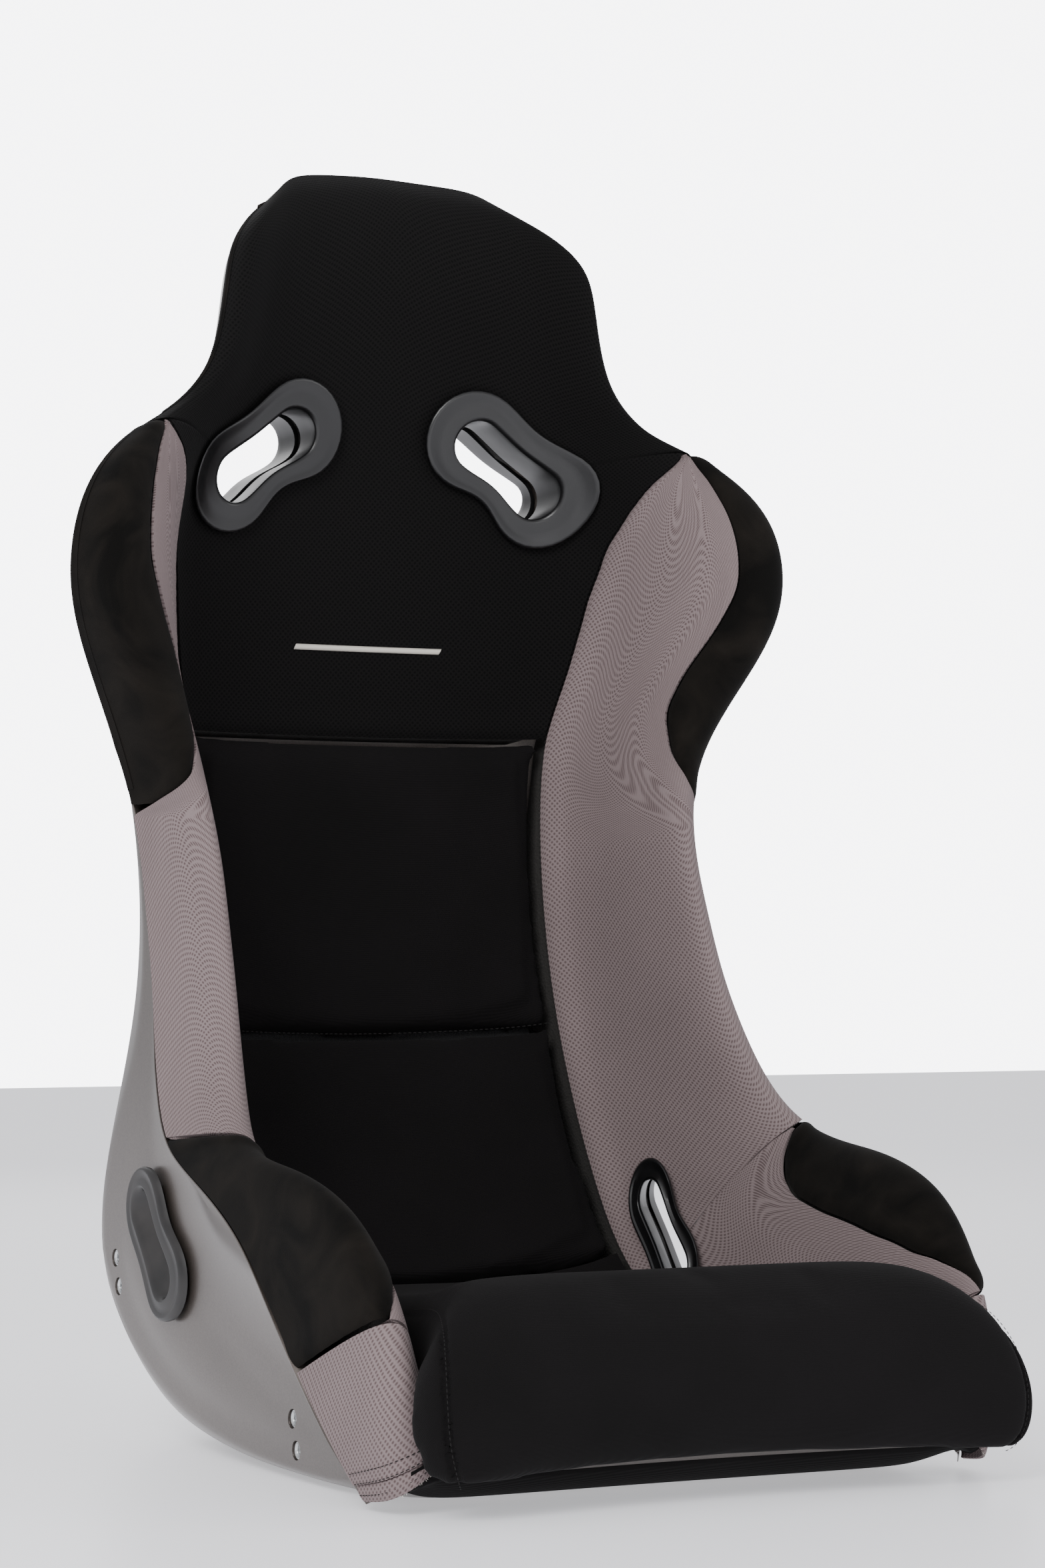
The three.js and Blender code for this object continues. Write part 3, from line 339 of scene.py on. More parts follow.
class Slot:
    """A harness slot: a waisted outline on a plane, cut straight along one axis"""

    def __init__(self, centre, turn, span, radius, waist, stretch, origin, axes):
        self.centre, self.turn = np.array(centre, float), math.radians(turn)
        self.span, self.radius, self.waist, self.stretch = span, radius, waist, stretch
        self.origin = np.array(origin, float) - (0, CENTRE_Y, 0)
        self.axes = np.array(axes, float)

    def outline(self, grow, cap=16, side=14):
        radius, span = self.radius + grow, self.span + grow * self.stretch
        points = []
        for end in (1, -1):
            for i in range(cap + 1):
                angle = math.pi * (i / cap - 0.5)
                points.append((end * (span + radius * math.cos(angle)), end * radius * math.sin(angle)))
            for i in range(1, side):
                along = 1 - 2 * i / side
                deep = 1 if end * self.waist > 0 else 0.35
                pinch = abs(self.waist) * (1 + grow / 12) * deep * math.cos(math.pi * along / 2) ** 2
                points.append((end * span * along, end * (radius - pinch)))
        c, s = math.cos(self.turn), math.sin(self.turn)
        return np.array(points) @ np.array([[c, s], [-s, c]]) + self.centre

    def inside(self, points):
        """Row-frame metres to the slot's own across, upright and depth, in mm"""
        return (points * 1000 - self.origin) @ np.linalg.inv(self.axes)

    def outside(self, flat, depth):
        local = np.concatenate([flat, np.broadcast_to(depth, flat.shape[:-1])[..., None]], -1)
        return (local @ self.axes + self.origin) / 1000

    def plug(self, grow, start, end, side):
        """The closed shape that cuts the slot, on one side of the seat"""
        flat = self.outline(grow)
        shape = bmesh.new()
        ring = [shape.verts.new(p * (side, 1, 1)) for p in self.outside(flat, start)]
        base = shape.faces.new(ring)
        push = (self.axes[2] * (end - start) / 1000) * (side, 1, 1)
        made = bmesh.ops.extrude_face_region(shape, geom=[base], use_keep_orig=True)
        far = [g for g in made["geom"] if isinstance(g, bmesh.types.BMVert)]
        bmesh.ops.translate(shape, vec=push, verts=far)
        bmesh.ops.recalc_face_normals(shape, faces=shape.faces[:])
        return shape


SHOULDER_SLOT = Slot((100, 709), -36.5, 29.5, 18, -3, 0.3, (0, 0, 0), [(1, 0, 0), (0, 0, 1), (0, 1, 0)])
LAP_SLOT = Slot((-108 - CENTRE_Y, 141), 50, 30, 14, 2, 0, (FLAT_X, CENTRE_Y, 0),
                [(0, 1, 0), (0, 0, 1), (1, 1.35, 0)])
BEZEL_WALL = 2.5
BEZEL_PLAY = 0.7                  # the holes are cut this much wider than the bezels


def shoulder_plugs():
    return [SHOULDER_SLOT.plug(BEZEL_WALL + BEZEL_PLAY, -140, 80, side) for side in (1, -1)]


def lap_plug(side):
    return LAP_SLOT.plug(BEZEL_WALL + BEZEL_PLAY, -60, 20, side)


def shell_place(s, t):
    return SHELL.at(6 - 12 * s, 0.05 + t * (LAST_STATION - 0.1))


def shell_depth(s, t):
    to_rim = np.minimum(1 - np.abs(2 * s - 1), 0.12) / 0.12
    to_end = np.minimum(np.minimum(t, 1 - t), 0.04) / 0.04
    return 0.7 + (SHELL_WALL - 0.7) * np.minimum(to_rim, to_end) ** 0.8


# Gel coat: sprayed polyester with fine aluminium flake under clear, which gives a satin
# warm grey with a broad highlight, faint orange peel and a dusting of polishing haze.
gelcoat, shader = finish_named("metallic_gelcoat", "#564f4b", metallic=0.6, roughness=0.36,
                               coat_weight=0.35, coat_roughness=0.2)
ends = add(gelcoat, "TexCoord")
flake = add(gelcoat, "TexNoise", {"Vector": ends.outputs["Object"], "Scale": 1 / 0.0011, "Detail": 1.0})
clouds = add(gelcoat, "TexNoise", {"Vector": ends.outputs["Object"], "Scale": 1 / 0.14, "Detail": 3.0})
paint = add(gelcoat, "ValToRGB", {"Fac": clouds.outputs["Fac"]})
for stop, position, code in zip(paint.color_ramp.elements, (0.32, 0.7), ("#504945", "#5b544f")):
    stop.position, stop.color = position, linear(code)
sparkle = add(gelcoat, "MapRange", {"Value": flake.outputs["Fac"], "From Min": 0.3, "From Max": 0.7,
                                    "To Min": 0.86, "To Max": 1.14})
speck = add(gelcoat, "VectorMath", {0: paint.outputs["Color"], "Scale": sparkle.outputs["Result"]},
            operation="SCALE")
feed(shader, "Base Color", speck.outputs["Vector"])
haze = add(gelcoat, "MapRange", {"Value": clouds.outputs["Fac"], "To Min": 0.3, "To Max": 0.44})
feed(shader, "Roughness", haze.outputs["Result"])
peel = add(gelcoat, "TexNoise", {"Vector": ends.outputs["Object"], "Scale": 1 / 0.006, "Detail": 1.0})
skin = add(gelcoat, "Bump", {"Height": peel.outputs["Fac"], "Strength": 0.06, "Distance": 0.0006})
feed(shader, "Normal", skin.outputs["Normal"])

BUSHES = (("front_lower", -323, 21), ("front_upper", -317, 41),
          ("rear_lower", -18, 105), ("rear_upper", -12, 125))
BUSH_RADIUS = 6
BORE_PLAY = 0.4


def bush_bore(y, z, side):
    """A round hole through the flat wall, square to it"""
    shape = bmesh.new()
    radius = (BUSH_RADIUS + BORE_PLAY) / 1000
    bmesh.ops.create_cone(shape, cap_ends=True, segments=40, radius1=radius, radius2=radius, depth=0.03)
    place = Matrix.Translation((side * FLAT_X / 1000, (y - CENTRE_Y) / 1000, z / 1000))
    bmesh.ops.transform(shape, matrix=place @ Matrix.Rotation(math.pi / 2, 4, "Y"), verts=shape.verts[:])
    return shape


shell = made_piece("moulded_shell", moved_grid(150, 210, shell_place, shell_depth), gelcoat,
                   replaces=["shell"])
cut_away(shell, *shoulder_plugs(), lap_plug(1), lap_plug(-1),
         *[bush_bore(y, z, side) for _, y, z in BUSHES for side in (1, -1)])

# --- Side bushes and plates --------------------------------------------------------------
# Threaded steel bushes for the side brackets, turned and zinc plated, set just below the
# gel coat. Plates of 4 mm steel inside the wall carry them.
zinc, shader = finish_named("zinc_plated_steel", "#c9cbcc", metallic=1.0, roughness=0.28)
ends = add(zinc, "TexCoord")
plating = add(zinc, "TexNoise", {"Vector": ends.outputs["Object"], "Scale": 1 / 0.0015, "Detail": 2.0})
dull = add(zinc, "MapRange", {"Value": plating.outputs["Fac"], "To Min": 0.2, "To Max": 0.42})
feed(shader, "Roughness", dull.outputs["Result"])
THREAD = 0.8                      # pitch of the thread, in mm


def bush_shape(y, z, side):
    """The bush's section, with its thread cut as rings, spun about its axis"""
    bore, outer, length, sink = 3.4, BUSH_RADIUS, 12, 1.2
    section = [(length, bore + 0.2), (length, outer), (0.4, outer), (0, outer - 0.4), (0, bore + 1.4),
               (0.9, bore + 0.3)]
    for k in range(11):
        section += [(1.3 + k * THREAD, bore), (1.3 + (k + 0.5) * THREAD, bore + 0.5)]
    shape = bmesh.new()
    ring = [shape.verts.new((0, radius / 1000, depth / 1000)) for depth, radius in section]
    edges = [shape.edges.new(pair) for pair in zip(ring, ring[1:] + ring[:1])]
    bmesh.ops.spin(shape, geom=ring + edges, cent=(0, 0, 0), axis=(0, 0, 1), angle=math.tau, steps=36,
                   use_merge=True, use_duplicate=False)
    bmesh.ops.remove_doubles(shape, verts=shape.verts[:], dist=1e-6)
    turn = Matrix.Rotation(-side * math.pi / 2, 4, "Y")
    place = Matrix.Translation((side * (FLAT_X - sink) / 1000, (y - CENTRE_Y) / 1000, z / 1000))
    bmesh.ops.transform(shape, matrix=place @ turn, verts=shape.verts[:])
    bmesh.ops.recalc_face_normals(shape, faces=shape.faces[:])
    return shape


for name, y, z in BUSHES:
    for label, side in (("left", 1), ("right", -1)):
        made_piece(f"threaded_bush_{name}_{label}", bush_shape(y, z, side), zinc, sharp=25,
                   replaces=[f"mount_insert_{name}_{label}"])


def refinish(names, material):
    """Gives CAD nodes that stay in view a finish from here"""
    for name in names:
        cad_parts[name].data.materials.clear()
        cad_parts[name].data.materials.append(material)


refinish([f"mount_plate_{place}_{label}" for place in ("front", "rear") for label in ("left", "right")], zinc)

# --- Foam --------------------------------------------------------------------------------
# Moulded polyurethane foam between the shell and the cover, hidden under the cloth. Its
# open cells and charcoal colour show only when a cushion is off.
foam, shader = finish_named("moulded_foam", "#2b2927", roughness=0.95)
ends = add(foam, "TexCoord")
cells = add(foam, "TexVoronoi", {"Vector": ends.outputs["Object"], "Scale": 1 / 0.002})
pores = add(foam, "Bump", {"Height": cells.outputs["Distance"], "Strength": 0.6, "Distance": 0.001})
feed(shader, "Normal", pores.outputs["Normal"])
refinish(["pan_foam", "back_base_foam", "back_foam", "side_foam_left", "side_foam_right",
          "seat_cushion_foam"], foam)

# --- Sewn cover --------------------------------------------------------------------------
# Cloths sewn edge to edge and stretched over the foam: black air mesh on the head and upper
# back, grey air mesh on the bolsters, and suede patches where the body rubs.
# Each seam is a list of (station, step across).
CENTRE_SEAM = [(0, 2), (12.4, 2), (13.2, 2.12), (14.2, 2.2), (14.9, 2.4), (15.4, 2.85), (15.8, 3.4),
               (16.4, 4.9)]
SHOULDER_SEAM = [(11.1, 5.95), (11.25, 5.45), (11.5, 4.7), (12, 4.05), (12.6, 3.8), (13.1, 3.9), (13.6, 4.1),
                 (14.2, 4.28), (15, 4.28), (15.5, 4.32), (16, 4.5), (16.4, 4.94)]
THIGH_SEAM = [(1.9, 4.5), (2.3, 3.95), (2.8, 3.65), (3.5, 3.55), (4.5, 3.55), (5.2, 3.6), (5.7, 3.75),
              (6.1, 4), (6.4, 4.4)]
PAD_BOTTOM, PAD_MIDDLE, PAD_TOP = 6.97, 9.42, 12.4
PAD_EDGE = 1.96
APEX = 16.4                       # where the grey cloth ends in a point at the shoulder
CLOTH = 2.2                       # thickness of a laminated cloth, in mm
RIM = 5.97
GAP = 0.012                       # from a seam to the edge of each cloth


def seam_at(seam, v):
    """Where a seam crosses a station, on a smooth line through its points"""
    stations, steps = np.array(seam, float).T
    blur = sum(np.interp(v + shift, stations, steps) for shift in (-0.14, -0.07, 0, 0.07, 0.14)) / 5
    return np.where((v < stations[0] + 0.1) | (v > stations[-1] - 0.1), np.interp(v, stations, steps), blur)


def woven(name, base, hole, spacing, depth, glow):
    """Air mesh: a warp-knitted spacer cloth whose face is a lattice of small round holes. The holes are
    painted darker, as painted shade inside them.
    """
    material, shader = finish_named(name, base, roughness=0.92, sheen_weight=glow, sheen_roughness=0.5,
                                    specular_ior_level=0.12)
    ends = add(material, "UVMap", uv_map="cloth")
    turned = add(material, "Mapping", {"Vector": ends.outputs["UV"], "Scale": (1 / spacing, 1 / spacing, 1),
                                       "Rotation": (0, 0, math.radians(45))})
    lattice = add(material, "TexVoronoi", {"Vector": turned.outputs["Vector"], "Scale": 1.0,
                                           "Randomness": 0.06}, voronoi_dimensions="2D")
    # the lattice's cell centres take the hole colour: the darker holes are painted shade, standing in for the
    # shade that falls inside each hole
    knit_and_hole_shade = add(material, "ValToRGB", {"Fac": lattice.outputs["Distance"]})
    for stop, position, code in zip(knit_and_hole_shade.color_ramp.elements, (0.18, 0.42), (hole, base)):
        stop.position, stop.color = position, linear(code)
    shade = add(material, "TexNoise", {"Vector": ends.outputs["UV"], "Scale": 1 / 0.09, "Detail": 4.0})
    wear = add(material, "MapRange", {"Value": shade.outputs["Fac"], "To Min": 0.84, "To Max": 1.12})
    tint = add(material, "VectorMath", {0: knit_and_hole_shade.outputs["Color"], "Scale": wear.outputs["Result"]},
               operation="SCALE")
    feed(shader, "Base Color", tint.outputs["Vector"])
    relief = add(material, "Bump", {"Height": lattice.outputs["Distance"], "Strength": 0.5,
                                    "Distance": depth})
    feed(shader, "Normal", relief.outputs["Normal"])
    return material


# each mesh's second colour is the painted shade inside its holes
black_mesh = woven("black_air_mesh", "#0e0d0d", "#030303", 0.0030, 0.0009, 0.012)
grey_mesh = woven("grey_air_mesh", "#7d7070", "#594c4c", 0.0030, 0.0007, 0.06)

# Suede: napped microfibre. The nap lies in drifts; the soft lighter sweeps that light catching it would give
# are painted into the colour, as painted sheen.
suede, shader = finish_named("black_suede", "#100e0c", roughness=0.98, sheen_weight=0.02, sheen_roughness=0.5,
                             specular_ior_level=0.1)
ends = add(suede, "TexCoord")
drift = add(suede, "TexNoise", {"Vector": ends.outputs["Object"], "Scale": 1 / 0.05, "Detail": 5.0,
                                "Distortion": 1.2})
# the drifts' lighter sweeps are painted sheen: light catching the nap, painted into the colour
nap_and_painted_sheen = add(suede, "ValToRGB", {"Fac": drift.outputs["Fac"]})
for stop, position, code in zip(nap_and_painted_sheen.color_ramp.elements, (0.35, 0.72), ("#090807", "#181512")):
    stop.position, stop.color = position, linear(code)
feed(shader, "Base Color", nap_and_painted_sheen.outputs["Color"])
fibres = add(suede, "TexNoise", {"Vector": ends.outputs["Object"], "Scale": 1 / 0.0008, "Detail": 3.0})
pile = add(suede, "Bump", {"Height": fibres.outputs["Fac"], "Strength": 0.5, "Distance": 0.0004})
feed(shader, "Normal", pile.outputs["Normal"])


def ripple(points, size, seed):
    """Soft unevenness of cloth over foam: seven crossed waves"""
    rng = random.Random(seed)
    total = np.zeros(len(points))
    for _ in range(7):
        way = Vector([rng.uniform(-1, 1) for _ in range(3)]).normalized()
        total += np.sin(points @ np.array(way) / size * rng.uniform(0.7, 1.5) * math.tau + rng.uniform(0, 6))
    return total / 4


def sewn_panel(name, spans, edges, steps, material, replaces, cuts=(), seams=(1, 1, 1, 1), side=0):
    """One cloth between two seams. It dips into each sewn edge, swells beside it and puckers
    a little along it. seams says which of its left, right, lower and upper edges are sewn."""
    across, along = steps

    def place(s, t):
        v = spans[0] + (spans[1] - spans[0]) * t
        left, right = edges(v)
        share = 1 - s if side < 0 else s
        u = (left + (right - left) * share) * (side or 1)
        flat = COVER.at(u, v)
        lattice = flat.reshape(along + 1, across + 1, 3)
        wide = lengths(lattice.transpose(1, 0, 2)).T
        long = lengths(lattice)
        gaps = [wide, wide[:, -1:] - wide, long, long[-1:] - long]
        if side < 0:
            gaps[0], gaps[1] = gaps[1], gaps[0]
        height = ripple(flat, 0.09, 7) * 0.35
        for sewn, gap, run in zip(seams, gaps, (long, long, wide, wide)):
            away = gap.ravel() * 1000
            pucker = np.sin(run.ravel() / 0.011 * math.tau + np.sin(run.ravel() / 0.037 * math.tau) * 1.5)
            dip = -2.3 * np.exp(-(away / 2.6) ** 1.5)
            swell = 0.9 * np.exp(-((away - 11) / 8) ** 2)
            height = height + sewn * (dip + swell + 0.22 * pucker * np.exp(-away / 7))
        return COVER.raised(u, v, height)

    weave_from = None if side == 0 else (0 if side > 0 else -1)
    shape = moved_grid(across, along, place, lambda s, t: np.full(s.shape, CLOTH), weave_from=weave_from)
    piece = made_piece(name, shape, material, replaces=replaces)
    cut_away(piece, *cuts)
    return piece


def mirrored_edges(seam):
    return lambda v: (-seam(v), seam(v))


sewn_panel("head_and_back_cover", (PAD_TOP + 0.01, LAST_STATION - 0.02),
           mirrored_edges(lambda v: np.where(v < APEX, seam_at(CENTRE_SEAM, v) - GAP, RIM)),
           (150, 190), black_mesh, ["upper_cover"], shoulder_plugs(), seams=(0, 0, 1, 0))


def centre_edge(v):
    return seam_at(CENTRE_SEAM, v) + GAP


def bolster_edges(v):
    """The grey cloth runs from the centre seam out to whichever patch or rim comes first"""
    outer = np.full_like(v, RIM)
    low, high = THIGH_SEAM[0][0], THIGH_SEAM[-1][0]
    outer = np.where((v > low) & (v < high), seam_at(THIGH_SEAM, v) - GAP, outer)
    outer = np.where(v > SHOULDER_SEAM[0][0], seam_at(SHOULDER_SEAM, v) - GAP, outer)
    return centre_edge(v), outer


def side_name(name, side):
    return f"{name}_left" if side > 0 else f"{name}_right"


for side in (1, -1):
    sewn_panel(side_name("grey_side_cover", side), (0.35, APEX - 0.05), bolster_edges, (72, 400), grey_mesh,
               [side_name("side_cover", side)], [lap_plug(side)], seams=(1, 0, 0, 0), side=side)
    sewn_panel(side_name("thigh_patch_cover", side), (1.93, 6.39),
               lambda v: (seam_at(THIGH_SEAM, v) + GAP, RIM), (46, 110), suede,
               [side_name("thigh_patch", side)], seams=(1, 0, 1, 1), side=side)
    sewn_panel(side_name("shoulder_patch_cover", side), (11.22, APEX - 0.03),
               lambda v: (np.minimum(seam_at(SHOULDER_SEAM, v) + GAP, RIM - 0.05), RIM),
               (44, 120), suede, [side_name("shoulder_patch", side)], seams=(1, 0, 0, 1), side=side)


def wrapped_edge(s, t):
    """The cloth's turned edge: from the rim round on to the outside of the moulding"""
    v = 11.4 + (LAST_STATION - 11.45) * t
    turn = np.clip(s * 3, 0, 1)
    over = COVER.raised(RIM - 0.12 * (1 - turn), v, np.full(s.shape, 0.4) * (1 - turn))
    back = np.clip((s - 1 / 3) * 1.5, 0, 1)
    outside = SHELL.at(6 - 0.34 * back, v) - SHELL.normal(6 - 0.34 * np.maximum(back, 0.1), v) * 0.0011
    blend = np.clip(s * 3 - 0.5, 0, 1)[:, None]
    return over * (1 - blend) + outside * blend


for side in (1, -1):
    turned = moved_grid(14, 220, lambda s, t: wrapped_edge(s if side > 0 else 1 - s, t) * (side, 1, 1))
    made_piece(side_name("wrapped_cloth_edge", side), turned, suede)

# --- Pan cover and hem -------------------------------------------------------------------
# Plain black polyester cloth glued to the pan under the loose cushion, and the corner hems,
# where the grey cloth is folded under and stitched in three rows by machine.
def plain_cloth(name, base, light, spacing):
    """Fine twill: slanted ribs too fine to see one by one, drawn coarse enough to catch light"""
    material, shader = finish_named(name, base, roughness=0.95, sheen_weight=0.012, sheen_roughness=0.45,
                                    specular_ior_level=0.12)
    ends = add(material, "TexCoord")
    slant = add(material, "Mapping", {"Vector": ends.outputs["Object"], "Rotation": (0.6, 0.9, 0.5)})
    ribs = add(material, "TexWave", {"Vector": slant.outputs["Vector"], "Scale": 0.5 / spacing,
                                     "Distortion": 0.4}, bands_direction="DIAGONAL")
    lint = add(material, "TexNoise", {"Vector": ends.outputs["Object"], "Scale": 1 / 0.12, "Detail": 5.0})
    tone = add(material, "ValToRGB", {"Fac": lint.outputs["Fac"]})
    for stop, position, code in zip(tone.color_ramp.elements, (0.3, 0.75), (base, light)):
        stop.position, stop.color = position, linear(code)
    feed(shader, "Base Color", tone.outputs["Color"])
    relief = add(material, "Bump", {"Height": ribs.outputs["Fac"], "Strength": 0.35, "Distance": 0.0004})
    feed(shader, "Normal", relief.outputs["Normal"])
    return material


pad_cloth = plain_cloth("black_pad_cloth", "#0c0b0b", "#121011", 0.0016)
sewn_panel("pan_lining", (0.12, PAD_BOTTOM - 0.08), mirrored_edges(lambda v: np.full_like(v, PAD_EDGE)),
           (60, 90), pad_cloth, ["pan_cover"], seams=(0.4, 0.4, 0, 0))


def front_wrap(s, t):
    """The lining's turned end: over the pan's front edge and on to its underside"""
    u = (2 * s - 1) * 4.2
    over = COVER.raised(u, 0.02 + 0.3 * (1 - np.clip(3 * t, 0, 1)), 0.4 * (1 - np.clip(3 * t, 0, 1)))
    back = np.clip((t - 1 / 3) * 1.5, 0, 1)
    v = 0.02 + 1.2 * back
    outside = SHELL.at(u, v) - SHELL.normal(u, v) * 0.0011
    blend = np.clip(t * 3 - 0.5, 0, 1)[:, None]
    return over * (1 - blend) + outside * blend


made_piece("pan_lining_turned_end", moved_grid(110, 30, front_wrap), pad_cloth)


def place_on(surface, u, v, height=0.0):
    """One point on a surface and its frame: across, along and square to it"""
    u, v = np.array([float(u)]), np.array([float(v)])
    point = surface.raised(u, v, np.array([height]))[0]
    across = surface.at(u + 0.02, v)[0] - surface.at(u - 0.02, v)[0]
    square = surface.normal(u, v)[0]
    across = across / np.linalg.norm(across)
    return Vector(point), Vector(across), Vector(np.cross(square, across)), Vector(square)


def stitch(shape, start, end, square, thick):
    """One stitch of thread: a small capsule from hole to hole"""
    way = (end - start)
    length = way.length
    way.normalize()
    side_way = square.cross(way).normalized()
    turn = Matrix((way, side_way, way.cross(side_way))).transposed().to_4x4()
    size = Matrix.Diagonal((length / 2, thick / 2, thick / 2, 1))
    bmesh.ops.create_icosphere(shape, subdivisions=1, radius=1.0,
                               matrix=Matrix.Translation((start + end) / 2) @ turn @ size)


def stitched_line(name, surface, route, pitch, thread, thick, height, body="seat"):
    """A row of machine stitches along route, a list of (u, v), a pitch in mm apart"""
    shape = bmesh.new()
    u = np.array([p[0] for p in route], float)
    v = np.array([p[1] for p in route], float)
    run = lengths(surface.at(u, v)[:, None])[:, 0] * 1000
    count = max(int(run[-1] / pitch), 1)
    for k in range(count):
        span = [(k + 0.1) * run[-1] / count, (k + 0.9) * run[-1] / count]
        holes = [place_on(surface, np.interp(at, run, u), np.interp(at, run, v), height) for at in span]
        stitch(shape, holes[0][0], holes[1][0], holes[0][3], thick / 1000)
    return made_piece(name, shape, thread, body)


thread, _ = finish_named("black_polyester_thread", "#121010", roughness=0.75, specular_ior_level=0.3)
silver, _ = finish_named("silver_rayon_thread", "#c9c4ba", roughness=0.35, sheen_weight=0.3)

hem_steps = np.linspace(2.05, 5.9, 40)
for side in (1, -1):
    sewn_panel(side_name("corner_hem_tape", side), (0.1, 0.34),
               lambda v: (np.full_like(v, 2.03), np.full_like(v, 5.9)), (70, 10), grey_mesh,
               [side_name("hem_tape", side)], seams=(0, 0, 0.3, 0.6), side=side)
    for row, v in enumerate((0.2, 0.37, 0.52)):
        stitched_line(side_name(f"hem_stitching_{row + 1}", side), COVER, [(u * side, v) for u in hem_steps],
                      3.6, thread, 0.7, 0.5)
    # the cut edge of the knit frays into a few pale loose ends
    fray = bmesh.new()
    rng = random.Random(11)
    for _ in range(46):
        root, across, along, square = place_on(COVER, side * rng.uniform(2.3, 4.6), 0.13, -0.6)
        tip = root - along * rng.uniform(0.001, 0.0035) + across * rng.uniform(-0.002, 0.002)
        stitch(fray, root, tip, square, 0.0004)
    made_piece(side_name("frayed_ends", side), fray, silver)
    stations = np.linspace(7.2, 16.3, 240)
    stitched_line(side_name("centre_seam_stitching", side), COVER,
                  [(side * float(seam_at(CENTRE_SEAM, np.array(v))), v) for v in stations], 4.0, thread,
                  0.7, -1.6)

# --- Embroidered bar ---------------------------------------------------------------------
# A plain bar of satin stitch across the upper back, silver thread laid on a slant, in the
# place where such seats are marked. It carries no letters.
bar = bmesh.new()
BAR_V = 13.42
for u in np.linspace(-0.72, 0.72, 150):
    low, across, along, square = place_on(COVER, u, BAR_V, 0.55)
    high = place_on(COVER, u + 0.03, BAR_V + 0.085, 0.55)[0]
    stitch(bar, low, high, square, 0.0009)
made_piece("embroidered_bar", bar, silver)

# --- Lumbar pad --------------------------------------------------------------------------
# A loose pad in two sections with a rolled seam between, cut foam in a sewn cover. Hook
# strips hold it in the recess of the back.
def inflated(piece, cap, voxel=0.0045):
    """Cloth blown up over its filling for a moment, then held: gives the crown and the small
    pulls of a stuffed cover. cap is how far a point may move, in metres."""
    skin = piece.modifiers.new("even", "REMESH")
    skin.mode = "VOXEL"
    skin.voxel_size = voxel
    skin.use_smooth_shade = True
    bpy.context.view_layer.update()
    applied(piece)
    scene = bpy.context.scene
    start = np.array([v.co for v in piece.data.vertices])
    blow = piece.modifiers.new("blow", "CLOTH")
    blow.settings.quality = 6
    blow.settings.mass = 0.3
    blow.settings.tension_stiffness = 25
    blow.settings.compression_stiffness = 20
    blow.settings.bending_stiffness = 3
    blow.settings.use_pressure = True
    blow.settings.uniform_pressure_force = 4
    blow.settings.effector_weights.gravity = 0
    blow.point_cache.frame_start, blow.point_cache.frame_end = 1, 20
    for step in range(1, 21):
        scene.frame_set(step)
    graph = bpy.context.evaluated_depsgraph_get()
    moved = np.array([v.co for v in piece.evaluated_get(graph).data.vertices]) - start
    piece.modifiers.clear()
    scene.frame_set(1)
    far = np.maximum(np.linalg.norm(moved, axis=1, keepdims=True), 1e-9)
    held = start + moved * np.minimum(1, cap / far)
    for vertex, point in zip(piece.data.vertices, held):
        vertex.co = point


def softened(piece, rounds, factor=0.5):
    """Lets the cloth even itself out"""
    shape = bmesh.new()
    shape.from_mesh(piece.data)
    for _ in range(rounds):
        bmesh.ops.smooth_vert(shape, verts=shape.verts[:], factor=factor, use_axis_x=True, use_axis_y=True,
                              use_axis_z=True)
    shape.to_mesh(piece.data)
    shape.free()
    for face in piece.data.polygons:
        face.use_smooth = True


def into_foam(u, v):
    """The direction from the cover straight to the moulding, which the pads' sides follow"""
    way = SHELL.at(u, v) - COVER.at(u, v)
    return way / np.linalg.norm(way, axis=-1, keepdims=True)


def pad_section(name, start, end, node, rolled):
    """A closed section: crowned face, sides straight into the recess, flat back"""
    def place(s, t, depth=0.0):
        u = (2 * s - 1) * (PAD_EDGE - 0.02)
        v = start + (end - start) * t
        edge = np.minimum(np.minimum(s, 1 - s) * 290, 60)
        lip = np.minimum(np.minimum(t, 1 - t) * 200, 60)
        crown = 4.2 * (1 - np.exp(-edge / 16)) * (1 - np.exp(-lip / 14)) - 2.0
        crown = crown + rolled * np.exp(-(lip - 7) ** 2 / 40)
        return COVER.raised(u, v, crown) + into_foam(u, v) * (depth / 1000)

    across, along = 70, 60
    shape = moved_grid(across, along, place)
    marks = shape.verts.layers.int.new("mark")
    for vertex in shape.verts:
        vertex[marks] = vertex.index
    index = np.arange(len(shape.verts))
    back = place(index % (across + 1) / across, index // (across + 1) / along, 17.5)
    made = bmesh.ops.extrude_face_region(shape, geom=shape.faces[:], use_keep_orig=True)
    for vertex in (g for g in made["geom"] if isinstance(g, bmesh.types.BMVert)):
        vertex.co = back[vertex[marks]]
    bmesh.ops.recalc_face_normals(shape, faces=shape.faces[:])
    piece = made_piece(name, shape, pad_cloth, "lumbar_pad", [node])
    inflated(piece, 0.003)
    softened(piece, 2)
    return piece


pad_section("lumbar_pad_lower_section", PAD_BOTTOM + 0.05, PAD_MIDDLE - 0.02, "lumbar_pad_lower", 0.9)
pad_section("lumbar_pad_upper_section", PAD_MIDDLE + 0.02, PAD_TOP - 0.03, "lumbar_pad_upper", 0.9)
stitched_line("lumbar_pad_seam", COVER, [(u, PAD_MIDDLE) for u in np.linspace(-1.9, 1.9, 60)], 4.0, thread,
              1.0, -3.0, "lumbar_pad")

